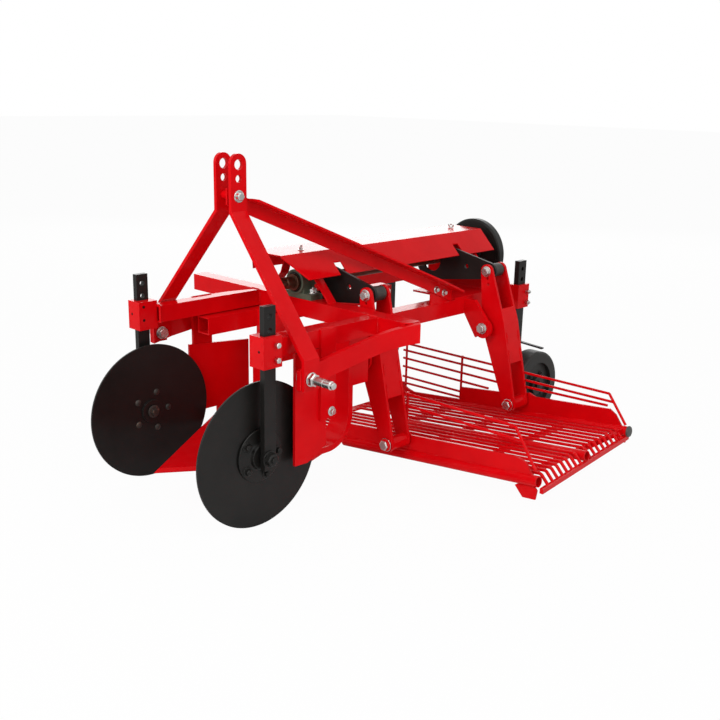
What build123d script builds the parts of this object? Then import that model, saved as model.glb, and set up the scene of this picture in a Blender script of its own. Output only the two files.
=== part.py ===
from build123d import *
import os
from math import hypot

# Mounted potato digger: a share lifts the row, a swinging sieve sorts it and drops it to the left.
#
# Millimetres. X points forward, Y to the machine's left and Z up. The origin lies midway between
# the two lower hitch pins. The part stands on its two discs and its two gauge wheels.

# ---------------------------------------------------------------- driving sizes
FLOOR = -386.0
PAINTED_BAR = 50.0          # outer size of every box-section beam
TUBE_WALL = 4.0

# three-point hitch, category 1 with a second top hole for category 2
HITCH_HALF_WIDTH = 341.0    # shoulder of each lower pin
HITCH_PIN_RADIUS = 11.0
HITCH_PIN_END = 405.0
HITCH_COLLAR_RADIUS = 17.0
HITCH_BALL_START, HITCH_BALL_END = 343.0, 396.0      # where the link ball rides
MAST_X = -18.0              # line of the mast holes
MAST_PLATE = 10.0
MAST_INNER_GAP = 50.0
TOP_LINK_HOLES = ((491.75, 12.85), (456.5, 9.65), (412.6, 6.1))   # height, radius
MAST_BOLT_HEIGHT = 412.6

# frame
BEAM_FRONT, BEAM_REAR = -300.0, -350.0
BEAM_TOP = 98.5
BEAM_RIGHT_END, BEAM_LEFT_END = -549.0, 366.0
RAIL_TOP = BEAM_TOP - PAINTED_BAR
RAIL_BOTTOM = RAIL_TOP - PAINTED_BAR
RAIL_FRONT = -83.0
LEFT_RAIL = (60.0, 110.0)
RIGHT_RAIL = (-238.0, -188.0)
RIGHT_RAIL_END = -848.0
LEFT_RAIL_END = -1167.0
RIGHT_WHEEL_RAIL = (-436.0, -386.0)

# drive
SHAFT_Y, SHAFT_Z = -69.0, 143.7
STUB_RADIUS = 17.4
SHAFT_RADIUS = 15.0
STUB_FRONT, STUB_REAR = -208.0, -290.0            # bare length of the power stub
COLLAR_FRONT, COLLAR_REAR = -293.0, -302.0
BEARING_FACE = -303.0
SHAFT_END = -1153.0
THROW = 7.0                 # offset of each eccentric
ECCENTRIC_RADIUS = 22.5
BIG_END_BORE = 38.0
RUNNING = 0.05              # radial play of a turning fit

# rockers, drawn in the plane across the machine: top bolt, waist and lower bolt
LOWER_LEVER = (96.0, -236.0)        # from the pivot to the lower bolt
WAIST_OFFSET = (20.0, 8.0)          # from the pivot to the middle of the waist
ROCKER_DEPTH = 76.0
ROCKER_PLATE = 8.0
ROCKER_END_RADIUS, ROCKER_WAIST_RADIUS = 22.0, 43.0
PIVOT_RADIUS = 12.0
ROCKERS = (                 # name, front face X, pivot, top bolt
    ("front", -364.0, (152.0, -46.0), (154.0, 131.0)),
    ("rear", -898.0, (184.0, -38.0), (167.0, 138.0)),
)

# sieve
SIEVE_SLOPE = 0.112         # rise toward the left, where the crop drops off
PIPE_RADIUS = 15.0
ROD_RADIUS = 4.5
RODS_PER_BAY = 8            # rods between two neighbouring pipes
ROD_ABOVE_PIPE = 12.0
SIEVE_RIGHT = -240.0
SIDE_PLATE = 6.0
FRONT_PLATE_X, REAR_PLATE_X = -452.0, -986.0      # rear face of each sieve plate

# discs and gauge wheels
DISC_X, DISC_Y, DISC_RADIUS, DISC_PLATE = 88.6, 231.4, 189.0, 5.0
DISC_Z = FLOOR + DISC_RADIUS
DISC_POST = (68.0, 104.0)   # front-to-back span of each disc post
WHEEL_X, WHEEL_RADIUS, WHEEL_WIDTH = -1137.0, 115.0, 62.0
WHEEL_Z = FLOOR + WHEEL_RADIUS
AXLE_RADIUS = 12.0

SHARE_TOP, SHARE_BOTTOM = -262.0, -272.0

SIDES = (("left", 1), ("right", -1))


# ---------------------------------------------------------------- helpers
def across(x):
    """Return the plane that stands across the machine at x, drawn in (y, z)."""
    return Plane.YZ.offset(x)


def along(y):
    """Return the plane that stands along the machine at y, drawn in (x, z)."""
    return Plane.XZ.offset(-y)


def level(z):
    """Return the level plane at height z, drawn in (x, y)."""
    return Plane.XY.offset(z)


def block(x, y, z, mode=Mode.ADD):
    """Add a box that fills three (low, high) spans."""
    spans = [sorted(span) for span in (x, y, z)]
    with Locations(tuple((low + high) / 2 for low, high in spans)):
        Box(*(high - low for low, high in spans), mode=mode)


def square_tube(x, y, z, open_along, wall=TUBE_WALL):
    """Add a box-section tube that is open at both ends along one axis."""
    block(x, y, z)
    spans = {"x": sorted(x), "y": sorted(y), "z": sorted(z)}
    for axis, (low, high) in spans.items():
        if axis != open_along:
            spans[axis] = (low + wall, high - wall)
    block(spans["x"], spans["y"], spans["z"], mode=Mode.SUBTRACT)


def plate(plane, outline, thickness, mode=Mode.ADD):
    """Add a flat plate: a closed outline drawn on a plane and thickened along its normal."""
    with BuildSketch(plane) as face:
        with BuildLine():
            Polyline(*outline, close=True)
        make_face()
    extrude(face.sketch, amount=thickness, mode=mode)


def rod(start, end, radius, mode=Mode.ADD):
    """Add a round bar between two points."""
    run = Vector(*end) - Vector(*start)
    with Locations(Plane(origin=start, z_dir=run)):
        Cylinder(radius, run.length, align=(Align.CENTER, Align.CENTER, Align.MIN), mode=mode)


def taper_plate(plane, circles, thickness, mode=Mode.ADD):
    """Add a plate whose outline wraps each pair of neighbouring (centre, radius) circles."""
    for first, second in zip(circles, circles[1:]):
        with BuildSketch(plane) as face:
            for centre, radius in (first, second):
                with Locations(centre):
                    Circle(radius)
            make_hull()
        extrude(face.sketch, amount=thickness, mode=mode)


def band(points, width):
    """Return the outline of an even strip that follows a run of points, mitred at each bend."""
    steps = [(b[0] - a[0], b[1] - a[1]) for a, b in zip(points, points[1:])]
    normals = [(-dy / hypot(dx, dy), dx / hypot(dx, dy)) for dx, dy in steps]
    left, right = [], []
    for index, (x, y) in enumerate(points):
        before = normals[max(index - 1, 0)]
        after = normals[min(index, len(normals) - 1)]
        total = (before[0] + after[0], before[1] + after[1])
        reach = width / (hypot(*total) ** 2)
        left.append((x + total[0] * reach, y + total[1] * reach))
        right.append((x - total[0] * reach, y - total[1] * reach))
    return left + right[::-1]


def pipe_height(y):
    """Return the height of the sieve's pipe centres at y."""
    return -280.0 + SIEVE_SLOPE * (y - 700.0)


def rod_height(y):
    """Return the height of the sieve rods at y."""
    return pipe_height(y) + ROD_ABOVE_PIPE


def sieve_end(x):
    """Return the left end of the sieve at x: it is cut back toward the rear."""
    return 714.0 + 0.12 * (x + 460.0)


def finish(piece, name):
    """Label one finished piece and write it."""
    piece.part.label = name
    export_step(piece.part, f"parts/{name}.step")


os.makedirs("parts", exist_ok=True)

# ---------------------------------------------------------------- mast and hitch
# Each mast plate is one flat bar, bent where it leaves the head and where it meets the arm.
for side_name, side in SIDES:
    with BuildPart() as mast:
        bends = [(side * y, z) for y, z in ((30, 519), (30, 373), (319, 47), (319, -29))]
        plate(across(-60), band(bends, MAST_PLATE), 100)
        with BuildSketch(along(-360)) as outline:
            with BuildLine():
                Polyline(
                    (-43, 494), (-43, 373), (-28, 47), (-28, -29), (22, -29), (22, 47), (7, 373), (7, 494),
                )
                ThreePointArc((7, 494), (MAST_X, 519), (-43, 494))
            make_face()
        extrude(amount=-720, mode=Mode.INTERSECT)
        for height, radius in TOP_LINK_HOLES:
            rod((MAST_X, -60, height), (MAST_X, 60, height), radius, mode=Mode.SUBTRACT)
        rod((0, side * 300, 0), (0, side * 340, 0), HITCH_PIN_RADIUS, mode=Mode.SUBTRACT)
    finish(mast, f"mast_{side_name}")

with BuildPart() as mast_spacer:
    half_gap = MAST_INNER_GAP / 2
    bolt_end = half_gap + MAST_PLATE
    rod((MAST_X, -bolt_end - 8, MAST_BOLT_HEIGHT), (MAST_X, bolt_end + 8, MAST_BOLT_HEIGHT), 6)
    for start, end, radius in (
        (-half_gap, 4, 11),
        (10, half_gap, 11),
        (bolt_end, bolt_end + 6, 10),
        (-bolt_end - 6, -bolt_end, 10),
    ):
        rod((MAST_X, start, MAST_BOLT_HEIGHT), (MAST_X, end, MAST_BOLT_HEIGHT), radius)
finish(mast_spacer, "mast_spacer")

# The brace is an angle section from the mast bolt down to a short upright on the left rail.
BRACE_PLAN = [(0, 7), (-64, 7), (-690, 113), (-792, 113)]
with BuildPart() as mast_brace:
    plate(level(0), band(BRACE_PLAN, 6), 500)
    with BuildSketch(along(0)):
        with BuildLine():
            Polyline((0, 432), (-792, 91), (-792, 49), (0, 390), close=True)
        make_face()
    extrude(amount=-200, mode=Mode.INTERSECT)
    rod((MAST_X, 0, MAST_BOLT_HEIGHT), (MAST_X, 14, MAST_BOLT_HEIGHT), 6.1, mode=Mode.SUBTRACT)
with BuildPart() as brace_flange:
    flange_plan = [(x, y + 28) for x, y in BRACE_PLAN[1:]]
    plate(level(0), band(flange_plan, 50), 500)
    with BuildSketch(along(-20)):
        with BuildLine():
            Polyline((-64, 404.4), (-792, 91), (-792, 85), (-64, 398.4), close=True)
        make_face()
    extrude(amount=-240, mode=Mode.INTERSECT)
with BuildPart() as brace:
    add(mast_brace.part)
    add(brace_flange.part)
finish(brace, "mast_brace")

with BuildPart() as brace_upright:
    plate(along(LEFT_RAIL[1]), [(-792, RAIL_TOP), (-700, RAIL_TOP), (-700, 120), (-792, 85)], 6)
finish(brace_upright, "brace_upright")

# Both arms are flat bars that climb at one rate from the pins to the front beam.
ARM_PLATE, ARM_HEIGHT, ARM_RISE = 14.0, 50.3, 0.215
ARM_FRONT, ARM_FRONT_BOTTOM = 24.6, -28.6
LEFT_ARM_BEND = (-215.0, 330.0)
LEFT_ARM_END = (-331.0, 384.0)


def arm_side_outline(rear):
    """Return an arm's outline seen from the side, from its front end back to rear."""
    climb = ARM_RISE * (ARM_FRONT - rear)
    return [
        (ARM_FRONT, ARM_FRONT_BOTTOM),
        (ARM_FRONT, ARM_FRONT_BOTTOM + ARM_HEIGHT),
        (rear, ARM_FRONT_BOTTOM + ARM_HEIGHT + climb),
        (rear, ARM_FRONT_BOTTOM + climb),
    ]


with BuildPart() as hitch_arm_left:
    with BuildSketch(level(-40)):
        with BuildLine():
            Polyline((ARM_FRONT, 307), (-35, 307), LEFT_ARM_BEND)
            wrap = TangentArc(LEFT_ARM_BEND, LEFT_ARM_END, tangent=(-180, 23))
        trace(line_width=ARM_PLATE)
    extrude(amount=160)
    with BuildSketch(along(290)):
        with BuildLine():
            Polyline(*arm_side_outline(-345), close=True)
        make_face()
    extrude(amount=-110, mode=Mode.INTERSECT)
    rod((0, 290, 0), (0, 330, 0), HITCH_PIN_RADIUS, mode=Mode.SUBTRACT)
finish(hitch_arm_left, "hitch_arm_left")

with BuildPart() as hitch_arm_right:
    plate(level(-40), band([(ARM_FRONT, -307), (-35, -307), (-320, -241.4)], ARM_PLATE), 160)
    with BuildSketch(along(-330)):
        with BuildLine():
            Polyline(*arm_side_outline(BEAM_FRONT), close=True)
        make_face()
    extrude(amount=-120, mode=Mode.INTERSECT)
    rod((0, -330, 0), (0, -290, 0), HITCH_PIN_RADIUS, mode=Mode.SUBTRACT)
finish(hitch_arm_right, "hitch_arm_right")

for side_name, side in SIDES:
    with BuildPart() as hitch_pin:
        for start, end, radius in (
            (286, 300, 18),
            (300, 324, HITCH_PIN_RADIUS),
            (324, HITCH_HALF_WIDTH, HITCH_COLLAR_RADIUS),
            (HITCH_HALF_WIDTH, HITCH_BALL_START, HITCH_PIN_RADIUS - 0.6),
            (HITCH_BALL_START, HITCH_BALL_END, HITCH_PIN_RADIUS),
            (HITCH_BALL_END, HITCH_PIN_END, 8.5),
        ):
            rod((0, side * start, 0), (0, side * end, 0), radius)
        rod((0, side * 387, -20), (0, side * 387, 20), 4, mode=Mode.SUBTRACT)
    finish(hitch_pin, f"hitch_pin_{side_name}")

# ---------------------------------------------------------------- frame
# The left end of the front beam is cut to fit the inner face of the left arm.
with BuildPart() as front_beam:
    square_tube((BEAM_REAR, BEAM_FRONT), (BEAM_RIGHT_END, BEAM_LEFT_END), (RAIL_TOP, BEAM_TOP), "y")
    with BuildSketch(level(0)):
        with Locations(wrap.arc_center):
            Circle(wrap.radius + ARM_PLATE / 2)
    extrude(amount=200, mode=Mode.SUBTRACT)
finish(front_beam, "front_beam")

RAILS = (                   # name, Y span, rear end, front end
    ("left_rail", LEFT_RAIL, LEFT_RAIL_END, RAIL_FRONT),
    ("right_rail", RIGHT_RAIL, RIGHT_RAIL_END, RAIL_FRONT),
    ("right_wheel_rail", RIGHT_WHEEL_RAIL, LEFT_RAIL_END, BEAM_FRONT),
)
for name, y_span, rear, front in RAILS:
    with BuildPart() as rail:
        square_tube((rear, front), y_span, (RAIL_BOTTOM, RAIL_TOP), "x")
    finish(rail, name)

# The deck carries the rear bearing plate.
DECK_TOP = RAIL_TOP + 6
BEARING_PLATE = (-1011.0, -1003.0)
with BuildPart() as rear_deck:
    block((BEARING_PLATE[1], -818), (-65, LEFT_RAIL[1]), (RAIL_TOP, DECK_TOP))
    bearing_outline = [
        (-160, RAIL_TOP), (110, RAIL_TOP), (110, 100), (45, 158), (15, 190), (-155, 190), (-160, 185),
    ]
    plate_rear, plate_front = BEARING_PLATE
    plate(across(plate_rear), bearing_outline, plate_front - plate_rear)
    rod((plate_rear - 1, SHAFT_Y, SHAFT_Z), (plate_front + 1, SHAFT_Y, SHAFT_Z), 30, mode=Mode.SUBTRACT)
finish(rear_deck, "rear_deck")

# ---------------------------------------------------------------- share and its carriers
with BuildPart() as share:
    rear_left, side_left = (-285, 156), (-80, 224)
    rear_right, side_right = (-285, -219), (-153, -262)
    share_outline = [(244, 5), side_left, rear_left, rear_right, side_right]
    plate(level(SHARE_BOTTOM), share_outline, SHARE_TOP - SHARE_BOTTOM)
    top_rim = share.faces().sort_by(Axis.Z)[-1].edges()
    cutting_edges = [edge for edge in top_rim if edge.center().X > 0]
    chamfer(cutting_edges, length=8)
finish(share, "share")

SHANK_FACE = -258.0
SHANK_PLATE = 16.0
CARRIERS = (                # side, hanger Y span, shank Y span
    ("left", (110, 200), (150, 215)),
    ("right", (-188, -108), (-188, -128)),
)
for side_name, hanger_y, shank_y in CARRIERS:
    with BuildPart() as hanger:
        square_tube((-332, SHANK_FACE), hanger_y, (-100, RAIL_TOP), "z", wall=6)
    finish(hanger, f"shank_hanger_{side_name}")

    with BuildPart() as shank:
        with BuildSketch(along(shank_y[0])):
            with BuildLine():
                stem_x = SHANK_FACE + SHANK_PLATE / 2
                foot_z = SHARE_TOP + SHANK_PLATE / 2
                FilletPolyline((stem_x, -40), (stem_x, foot_z), (-100, foot_z), radius=82)
            trace(line_width=SHANK_PLATE)
        extrude(amount=-(shank_y[1] - shank_y[0]))
    finish(shank, f"shank_{side_name}")

# Deflector plates guide the row inward and hang from flat hangers on the disc bars.
BAR_OUTER, BAR_INNER = 262.0, 222.0
BAR_LEVELS = (52.0, 98.0)
BAR_FRONT = 57.0

with BuildPart() as side_plate_left:
    outline = [
        (-5, 50), (-5, -246), (-48, -247), (-81, -234), (-113, -212), (-113, 50),
    ]
    plate(along(BAR_OUTER), outline, 8)
finish(side_plate_left, "side_plate_left")

with BuildPart() as side_plate_right:
    outline = [
        (-281, -57), (-63, -38), (-63, -243), (-160, -243), (-160, SHARE_TOP),
        (-178, SHARE_TOP), (-178, -243), (-281, -243),
    ]
    plate(along(-BAR_OUTER + 8), outline, 8)
finish(side_plate_right, "side_plate_right")

with BuildPart() as plate_hanger_left:
    block((-137, -86), (BAR_OUTER, BAR_OUTER + 8), (-140, BAR_LEVELS[1]))
finish(plate_hanger_left, "plate_hanger_left")

with BuildPart() as plate_hanger_right:
    block((-150, -83), (-BAR_OUTER - 8, -BAR_OUTER), (-140, BAR_LEVELS[1]))
finish(plate_hanger_right, "plate_hanger_right")

# ---------------------------------------------------------------- disc carriers
CLAMP_WALL = 9.0
DISC_POST_Y = (257.0, 273.0)
for side_name, side in SIDES:
    with BuildPart() as disc_bar:
        square_tube((BEAM_FRONT, BAR_FRONT), (side * BAR_INNER, side * BAR_OUTER), BAR_LEVELS, "x")
        if side < 0:
            arm_face = [(-330, -231.9), (BAR_FRONT, -320.9), (BAR_FRONT, -400), (-330, -400)]
            plate(level(0), arm_face, 120, mode=Mode.SUBTRACT)
    finish(disc_bar, f"disc_bar_{side_name}")

    with BuildPart() as disc_clamp:
        block((BAR_FRONT, 115), (side * 232, side * 284), (35, 113))
        block(DISC_POST, (side * DISC_POST_Y[0], side * DISC_POST_Y[1]), (30, 120), mode=Mode.SUBTRACT)
    finish(disc_clamp, f"disc_clamp_{side_name}")

    with BuildPart() as disc_post:
        block(DISC_POST, (side * DISC_POST_Y[0], side * DISC_POST_Y[1]), (DISC_Z - 30, 185))
        for height in (125, 160):
            rod((86, side * 250, height), (86, side * 280, height), 7, mode=Mode.SUBTRACT)
        rod((DISC_X, side * 222, DISC_Z), (DISC_X, side * DISC_POST_Y[0], DISC_Z), AXLE_RADIUS)
        rod((DISC_X, side * 219, DISC_Z), (DISC_X, side * 222, DISC_Z), 17)
        rod((DISC_X, side * DISC_POST_Y[1], DISC_Z), (DISC_X, side * 282, DISC_Z), 15)
    finish(disc_post, f"disc_post_{side_name}")

    with BuildPart() as disc:
        inner_face = DISC_Y - DISC_PLATE / 2
        outer_face = inner_face + DISC_PLATE
        rod((DISC_X, side * inner_face, DISC_Z), (DISC_X, side * outer_face, DISC_Z), DISC_RADIUS)
        rod((DISC_X, side * 223, DISC_Z), (DISC_X, side * 251, DISC_Z), 32)
        bore = AXLE_RADIUS + RUNNING
        rod((DISC_X, side * 210, DISC_Z), (DISC_X, side * 260, DISC_Z), bore, mode=Mode.SUBTRACT)
    finish(disc, f"disc_{side_name}")

# ---------------------------------------------------------------- gauge wheels
WHEEL_CARRIERS = (          # side, direction outward, outer face of the rail, foot of the post
    ("left", 1, LEFT_RAIL[1]),
    ("right", -1, RIGHT_WHEEL_RAIL[0]),
)
for side_name, side, rail_face in WHEEL_CARRIERS:
    post_y = (rail_face + side * 10, rail_face + side * 28)
    hub_face = rail_face + side * 50
    tyre_y = (rail_face + side * 56, rail_face + side * (56 + WHEEL_WIDTH))
    hub_end = tyre_y[1] + side * 2

    with BuildPart() as wheel_clamp:
        block((WHEEL_X - 30, WHEEL_X + 30), (rail_face, rail_face + side * 38), (-16, 63))
        block((WHEEL_X - 20, WHEEL_X + 20), post_y, (-20, 70), mode=Mode.SUBTRACT)
    finish(wheel_clamp, f"wheel_clamp_{side_name}")

    with BuildPart() as wheel_post:
        block((WHEEL_X - 20, WHEEL_X + 20), post_y, (WHEEL_Z - 24, 142))
        for height in (80, 115):
            inside, outside = post_y[0] - side, post_y[1] + side
            rod((WHEEL_X, inside, height), (WHEEL_X, outside, height), 7, mode=Mode.SUBTRACT)
        rod((WHEEL_X, post_y[1], WHEEL_Z), (WHEEL_X, hub_end + side * 2, WHEEL_Z), AXLE_RADIUS)
        rod((WHEEL_X, hub_end + side * 1, WHEEL_Z), (WHEEL_X, hub_end + side * 9, WHEEL_Z), 17)
    finish(wheel_post, f"wheel_post_{side_name}")

    with BuildPart() as wheel:
        rod((WHEEL_X, tyre_y[0], WHEEL_Z), (WHEEL_X, tyre_y[1], WHEEL_Z), WHEEL_RADIUS)
        rims = wheel.edges().filter_by(GeomType.CIRCLE)
        fillet(rims, 10)
        for face in tyre_y:
            rod((WHEEL_X, face - 14, WHEEL_Z), (WHEEL_X, face + 14, WHEEL_Z), 78, mode=Mode.SUBTRACT)
        rod((WHEEL_X, hub_face, WHEEL_Z), (WHEEL_X, hub_end, WHEEL_Z), 30)
        rod((WHEEL_X, hub_face - side * 9, WHEEL_Z), (WHEEL_X, hub_end + side * 9, WHEEL_Z),
            AXLE_RADIUS + RUNNING, mode=Mode.SUBTRACT)
    finish(wheel, f"wheel_{side_name}")

# ---------------------------------------------------------------- drive line
with BuildPart() as bearing_front:
    block((-348, BEARING_FACE), (SHAFT_Y - 67, SHAFT_Y + 67), (BEAM_TOP, BEAM_TOP + 16))
    rod((-348, SHAFT_Y, SHAFT_Z), (BEARING_FACE, SHAFT_Y, SHAFT_Z), 35.5)
    block((-345, -306), (SHAFT_Y - 34, SHAFT_Y + 34), (BEAM_TOP, SHAFT_Z - 8))
    rod((-360, SHAFT_Y, SHAFT_Z), (-290, SHAFT_Y, SHAFT_Z), SHAFT_RADIUS + RUNNING, mode=Mode.SUBTRACT)
finish(bearing_front, "bearing_front")

with BuildPart() as bearing_rear:
    block((-1023, BEARING_PLATE[0]), (SHAFT_Y - 45, SHAFT_Y + 45), (SHAFT_Z - 45, SHAFT_Z + 45))
    fillet(bearing_rear.edges().filter_by(Axis.X), 12)
    rod((-1048, SHAFT_Y, SHAFT_Z), (-1023, SHAFT_Y, SHAFT_Z), 36)
    rod((-1060, SHAFT_Y, SHAFT_Z), (-1000, SHAFT_Y, SHAFT_Z), SHAFT_RADIUS + RUNNING, mode=Mode.SUBTRACT)
finish(bearing_rear, "bearing_rear")

# Both eccentrics point up at mid stroke.
with BuildPart() as crankshaft:
    for start, end, radius in (
        (SHAFT_END - 8, COLLAR_REAR, SHAFT_RADIUS),
        (COLLAR_REAR, COLLAR_FRONT, 24),
        (COLLAR_FRONT, STUB_REAR, STUB_RADIUS - 0.9),
        (STUB_REAR, STUB_FRONT, STUB_RADIUS),
    ):
        rod((start, SHAFT_Y, SHAFT_Z), (end, SHAFT_Y, SHAFT_Z), radius)
    for name, front_face, pivot, top in ROCKERS:
        rod_x, lobe_z = front_face - 17, SHAFT_Z + THROW
        rod((rod_x - 10, SHAFT_Y, lobe_z), (rod_x + 10, SHAFT_Y, lobe_z), ECCENTRIC_RADIUS)
finish(crankshaft, "crankshaft")

with BuildPart() as flywheel:
    rod((SHAFT_END, SHAFT_Y, SHAFT_Z), (SHAFT_END + 25, SHAFT_Y, SHAFT_Z), 117.5)
    fillet(flywheel.edges().filter_by(GeomType.CIRCLE), 3)
    rod((SHAFT_END - 9, SHAFT_Y, SHAFT_Z), (SHAFT_END + 40, SHAFT_Y, SHAFT_Z), SHAFT_RADIUS,
            mode=Mode.SUBTRACT)
finish(flywheel, "flywheel")

# The cover is one folded sheet: a flat top and two flaps at 45 degrees, notched for the rods.
COVER_TOP, COVER_SHEET = 236.0, 3.0
COVER_FRONT, COVER_REAR = -196.0, -1089.0
FLAT_HALF, FLAP_HALF, FLAP_FOOT = 60.0, 121.0, 173.0
NOTCHES = ((-396.0, -368.0), (-930.0, -903.0))
with BuildPart() as shaft_cover:
    centre_y = SHAFT_Y - 1
    fold = [
        (centre_y - FLAP_HALF, FLAP_FOOT), (centre_y - FLAT_HALF, COVER_TOP),
        (centre_y + FLAT_HALF, COVER_TOP), (centre_y + FLAP_HALF, FLAP_FOOT),
    ]
    plate(across(COVER_REAR), band(fold, COVER_SHEET), COVER_FRONT - COVER_REAR)
    for sign in (1, -1):
        near, far = centre_y + sign * (FLAT_HALF + 2), centre_y + sign * (FLAP_HALF + 20)
        slant = [(COVER_FRONT + 1, near), (COVER_FRONT - 70, far), (COVER_FRONT + 1, far)]
        plate(level(150), slant, 100, mode=Mode.SUBTRACT)
    for notch in NOTCHES:
        block(notch, (20, 80), (160, 220), mode=Mode.SUBTRACT)
finish(shaft_cover, "shaft_cover")

STRUT_PLATE = 4.0
with BuildPart() as cover_struts:
    underside = COVER_TOP - COVER_SHEET / 2
    for sign in (1, -1):
        strut_line = [
            (SHAFT_Y + sign * 129, BEAM_TOP), (SHAFT_Y + sign * 72, 160),
            (SHAFT_Y + sign * 46, underside - 2), (SHAFT_Y + sign * 14, underside - 2),
        ]
        plate(across(-342), band(strut_line, STRUT_PLATE), 30)
    block((BEARING_PLATE[1], BEARING_PLATE[1] + STRUT_PLATE), (-101, -37), (178, underside))
    block((-1040, BEARING_PLATE[1] + STRUT_PLATE), (-101, -37), (underside - STRUT_PLATE, underside))
    block((-345, -309), (-300, 200), (BEAM_TOP - 8, BEAM_TOP), mode=Mode.SUBTRACT)
finish(cover_struts, "cover_struts")

# ---------------------------------------------------------------- rockers, rods and brackets
for name, front_face, pivot, top in ROCKERS:
    rear_face = front_face - ROCKER_DEPTH
    bottom = (pivot[0] + LOWER_LEVER[0], pivot[1] + LOWER_LEVER[1])
    waist = (pivot[0] + WAIST_OFFSET[0], pivot[1] + WAIST_OFFSET[1])
    circles = [(top, ROCKER_END_RADIUS), (waist, ROCKER_WAIST_RADIUS), (bottom, ROCKER_END_RADIUS)]
    inner = (rear_face + ROCKER_PLATE, front_face - ROCKER_PLATE)

    with BuildPart() as web:
        taper_plate(across(inner[0]), circles, inner[1] - inner[0])
        shifted = [((y - ROCKER_PLATE, z), radius) for (y, z), radius in circles]
        taper_plate(across(inner[0]), shifted, inner[1] - inner[0], mode=Mode.SUBTRACT)
        block(inner, (pivot[0] - 60, pivot[0] + 120), (pivot[1] - 104, pivot[1] + 65), mode=Mode.INTERSECT)
    with BuildPart() as rocker:
        for plate_x in (rear_face, inner[1]):
            taper_plate(across(plate_x), circles, ROCKER_PLATE)
        add(web.part)
        rod((inner[0], *pivot), (inner[1], *pivot), 20)
        rod((inner[0], *bottom), (inner[1], *bottom), 20)
        for centre in (pivot, bottom):
            bore = PIVOT_RADIUS + RUNNING
            rod((rear_face - 1, *centre), (front_face + 1, *centre), bore, mode=Mode.SUBTRACT)
        rod((rear_face - 7, *top), (front_face + 7, *top), 10)
        for spare in (22, 40):
            spare_y = top[0] + spare * (waist[0] - top[0]) / (top[1] - waist[1])
            rod((inner[1] - 1, spare_y, top[1] - spare), (front_face + 1, spare_y, top[1] - spare), 4,
                mode=Mode.SUBTRACT)
    finish(rocker, f"rocker_{name}")

    # The rod's eye turns on the rocker's top bolt; its big end rides round the eccentric.
    with BuildPart() as conrod:
        rod_front = front_face - 13
        taper_plate(across(rod_front - ROCKER_PLATE), [(top, 26), ((SHAFT_Y, SHAFT_Z), 66)], ROCKER_PLATE)
        rod((inner[0] + 5, *top), (inner[1] - 5, *top), 20)
        rod((rear_face, *top), (front_face, *top), 10 + RUNNING, mode=Mode.SUBTRACT)
        for centre, radius in (((SHAFT_Y, SHAFT_Z), BIG_END_BORE), ((76, 141), 8)):
            rod((rod_front - 20, *centre), (rod_front + 10, *centre), radius, mode=Mode.SUBTRACT)
    finish(conrod, f"conrod_{name}")

    with BuildPart() as bracket:
        if name == "front":
            plate_x = (BEAM_REAR - 8, BEAM_REAR)
            plate(across(plate_x[0]), [(112, BEAM_TOP), (200, BEAM_TOP), (190, -46), (114, -46)], 8)
            rod((plate_x[0], *pivot), (plate_x[1], *pivot), 38)
        else:
            plate_x = (-880, -868)
            plate(across(plate_x[0]), [(110, 47), (150, 47), (208, -20), (158, -72), (110, -1.5)], 12)
            rod((plate_x[0], *pivot), (plate_x[1], *pivot), 32)
            rod((-892, *pivot), (plate_x[0], *pivot), 20)
        rod((rear_face - 8, *pivot), (plate_x[1], *pivot), PIVOT_RADIUS)
        rod((rear_face - 8, *pivot), (rear_face - 2, *pivot), 18)
    finish(bracket, f"rocker_bracket_{name}")

# ---------------------------------------------------------------- sieve
# Rods and pipes lie along Y. Flat cross strips, the end strip and the pipes tie the rods together.
PIPES = (                   # X, left end
    (FRONT_PLATE_X + 3, 700.0),
    (-705.0, 685.0),
    (REAR_PLATE_X + 3, 656.0),
)
STRIP_HEIGHT = 14.0
STRIP_SPAN = (REAR_PLATE_X - 8, FRONT_PLATE_X + 14)
with BuildPart() as end_strip:
    plate(level(-350), band([(x, sieve_end(x)) for x in STRIP_SPAN], 10), 100)
    tops = [(x, pipe_height(sieve_end(x)) - PIPE_RADIUS + 2) for x in STRIP_SPAN]
    bottoms = [(x, z - STRIP_HEIGHT) for x, z in reversed(tops)]
    plate(along(760), tops + bottoms, 200, mode=Mode.INTERSECT)

rod_places = []
for (front_x, _), (rear_x, _) in zip(PIPES, PIPES[1:]):
    pitch = (rear_x - front_x) / (RODS_PER_BAY + 1)
    rod_places += [front_x + pitch * (index + 1) for index in range(RODS_PER_BAY)]

with BuildPart() as sieve_rods:
    for pipe_x, pipe_left in PIPES:
        start, end = (pipe_x, 0, pipe_height(0)), (pipe_x, pipe_left, pipe_height(pipe_left))
        rod(start, end, PIPE_RADIUS)
        rod(start, end, PIPE_RADIUS - 3, mode=Mode.SUBTRACT)
    for x in rod_places:
        bend_y = sieve_end(x) - 25
        with BuildLine() as rod_line:
            FilletPolyline(
                (x, SIEVE_RIGHT, rod_height(SIEVE_RIGHT)), (x, bend_y, rod_height(bend_y)),
                (x, sieve_end(x), pipe_height(sieve_end(x)) - PIPE_RADIUS - 2), radius=12,
            )
        with BuildSketch(Plane(origin=rod_line.line @ 0, z_dir=rod_line.line % 0)):
            Circle(ROD_RADIUS)
        sweep(path=rod_line.line)
    for strip_y in (20, 240, 460, 640):
        z = rod_height(strip_y)
        for (front_x, _), (rear_x, _) in zip(PIPES, PIPES[1:]):
            reach = PIPE_RADIUS - 1
            block((rear_x + reach, front_x - reach), (strip_y - 3, strip_y + 3), (z - 20, z - 2))
    z = rod_height(SIEVE_RIGHT + 15)
    block((REAR_PLATE_X + SIDE_PLATE, PIPES[0][0]), (SIEVE_RIGHT, SIEVE_RIGHT + 30), (z - 3, z + 3))
    add(end_strip.part)
finish(sieve_rods, "sieve_rods")

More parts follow.
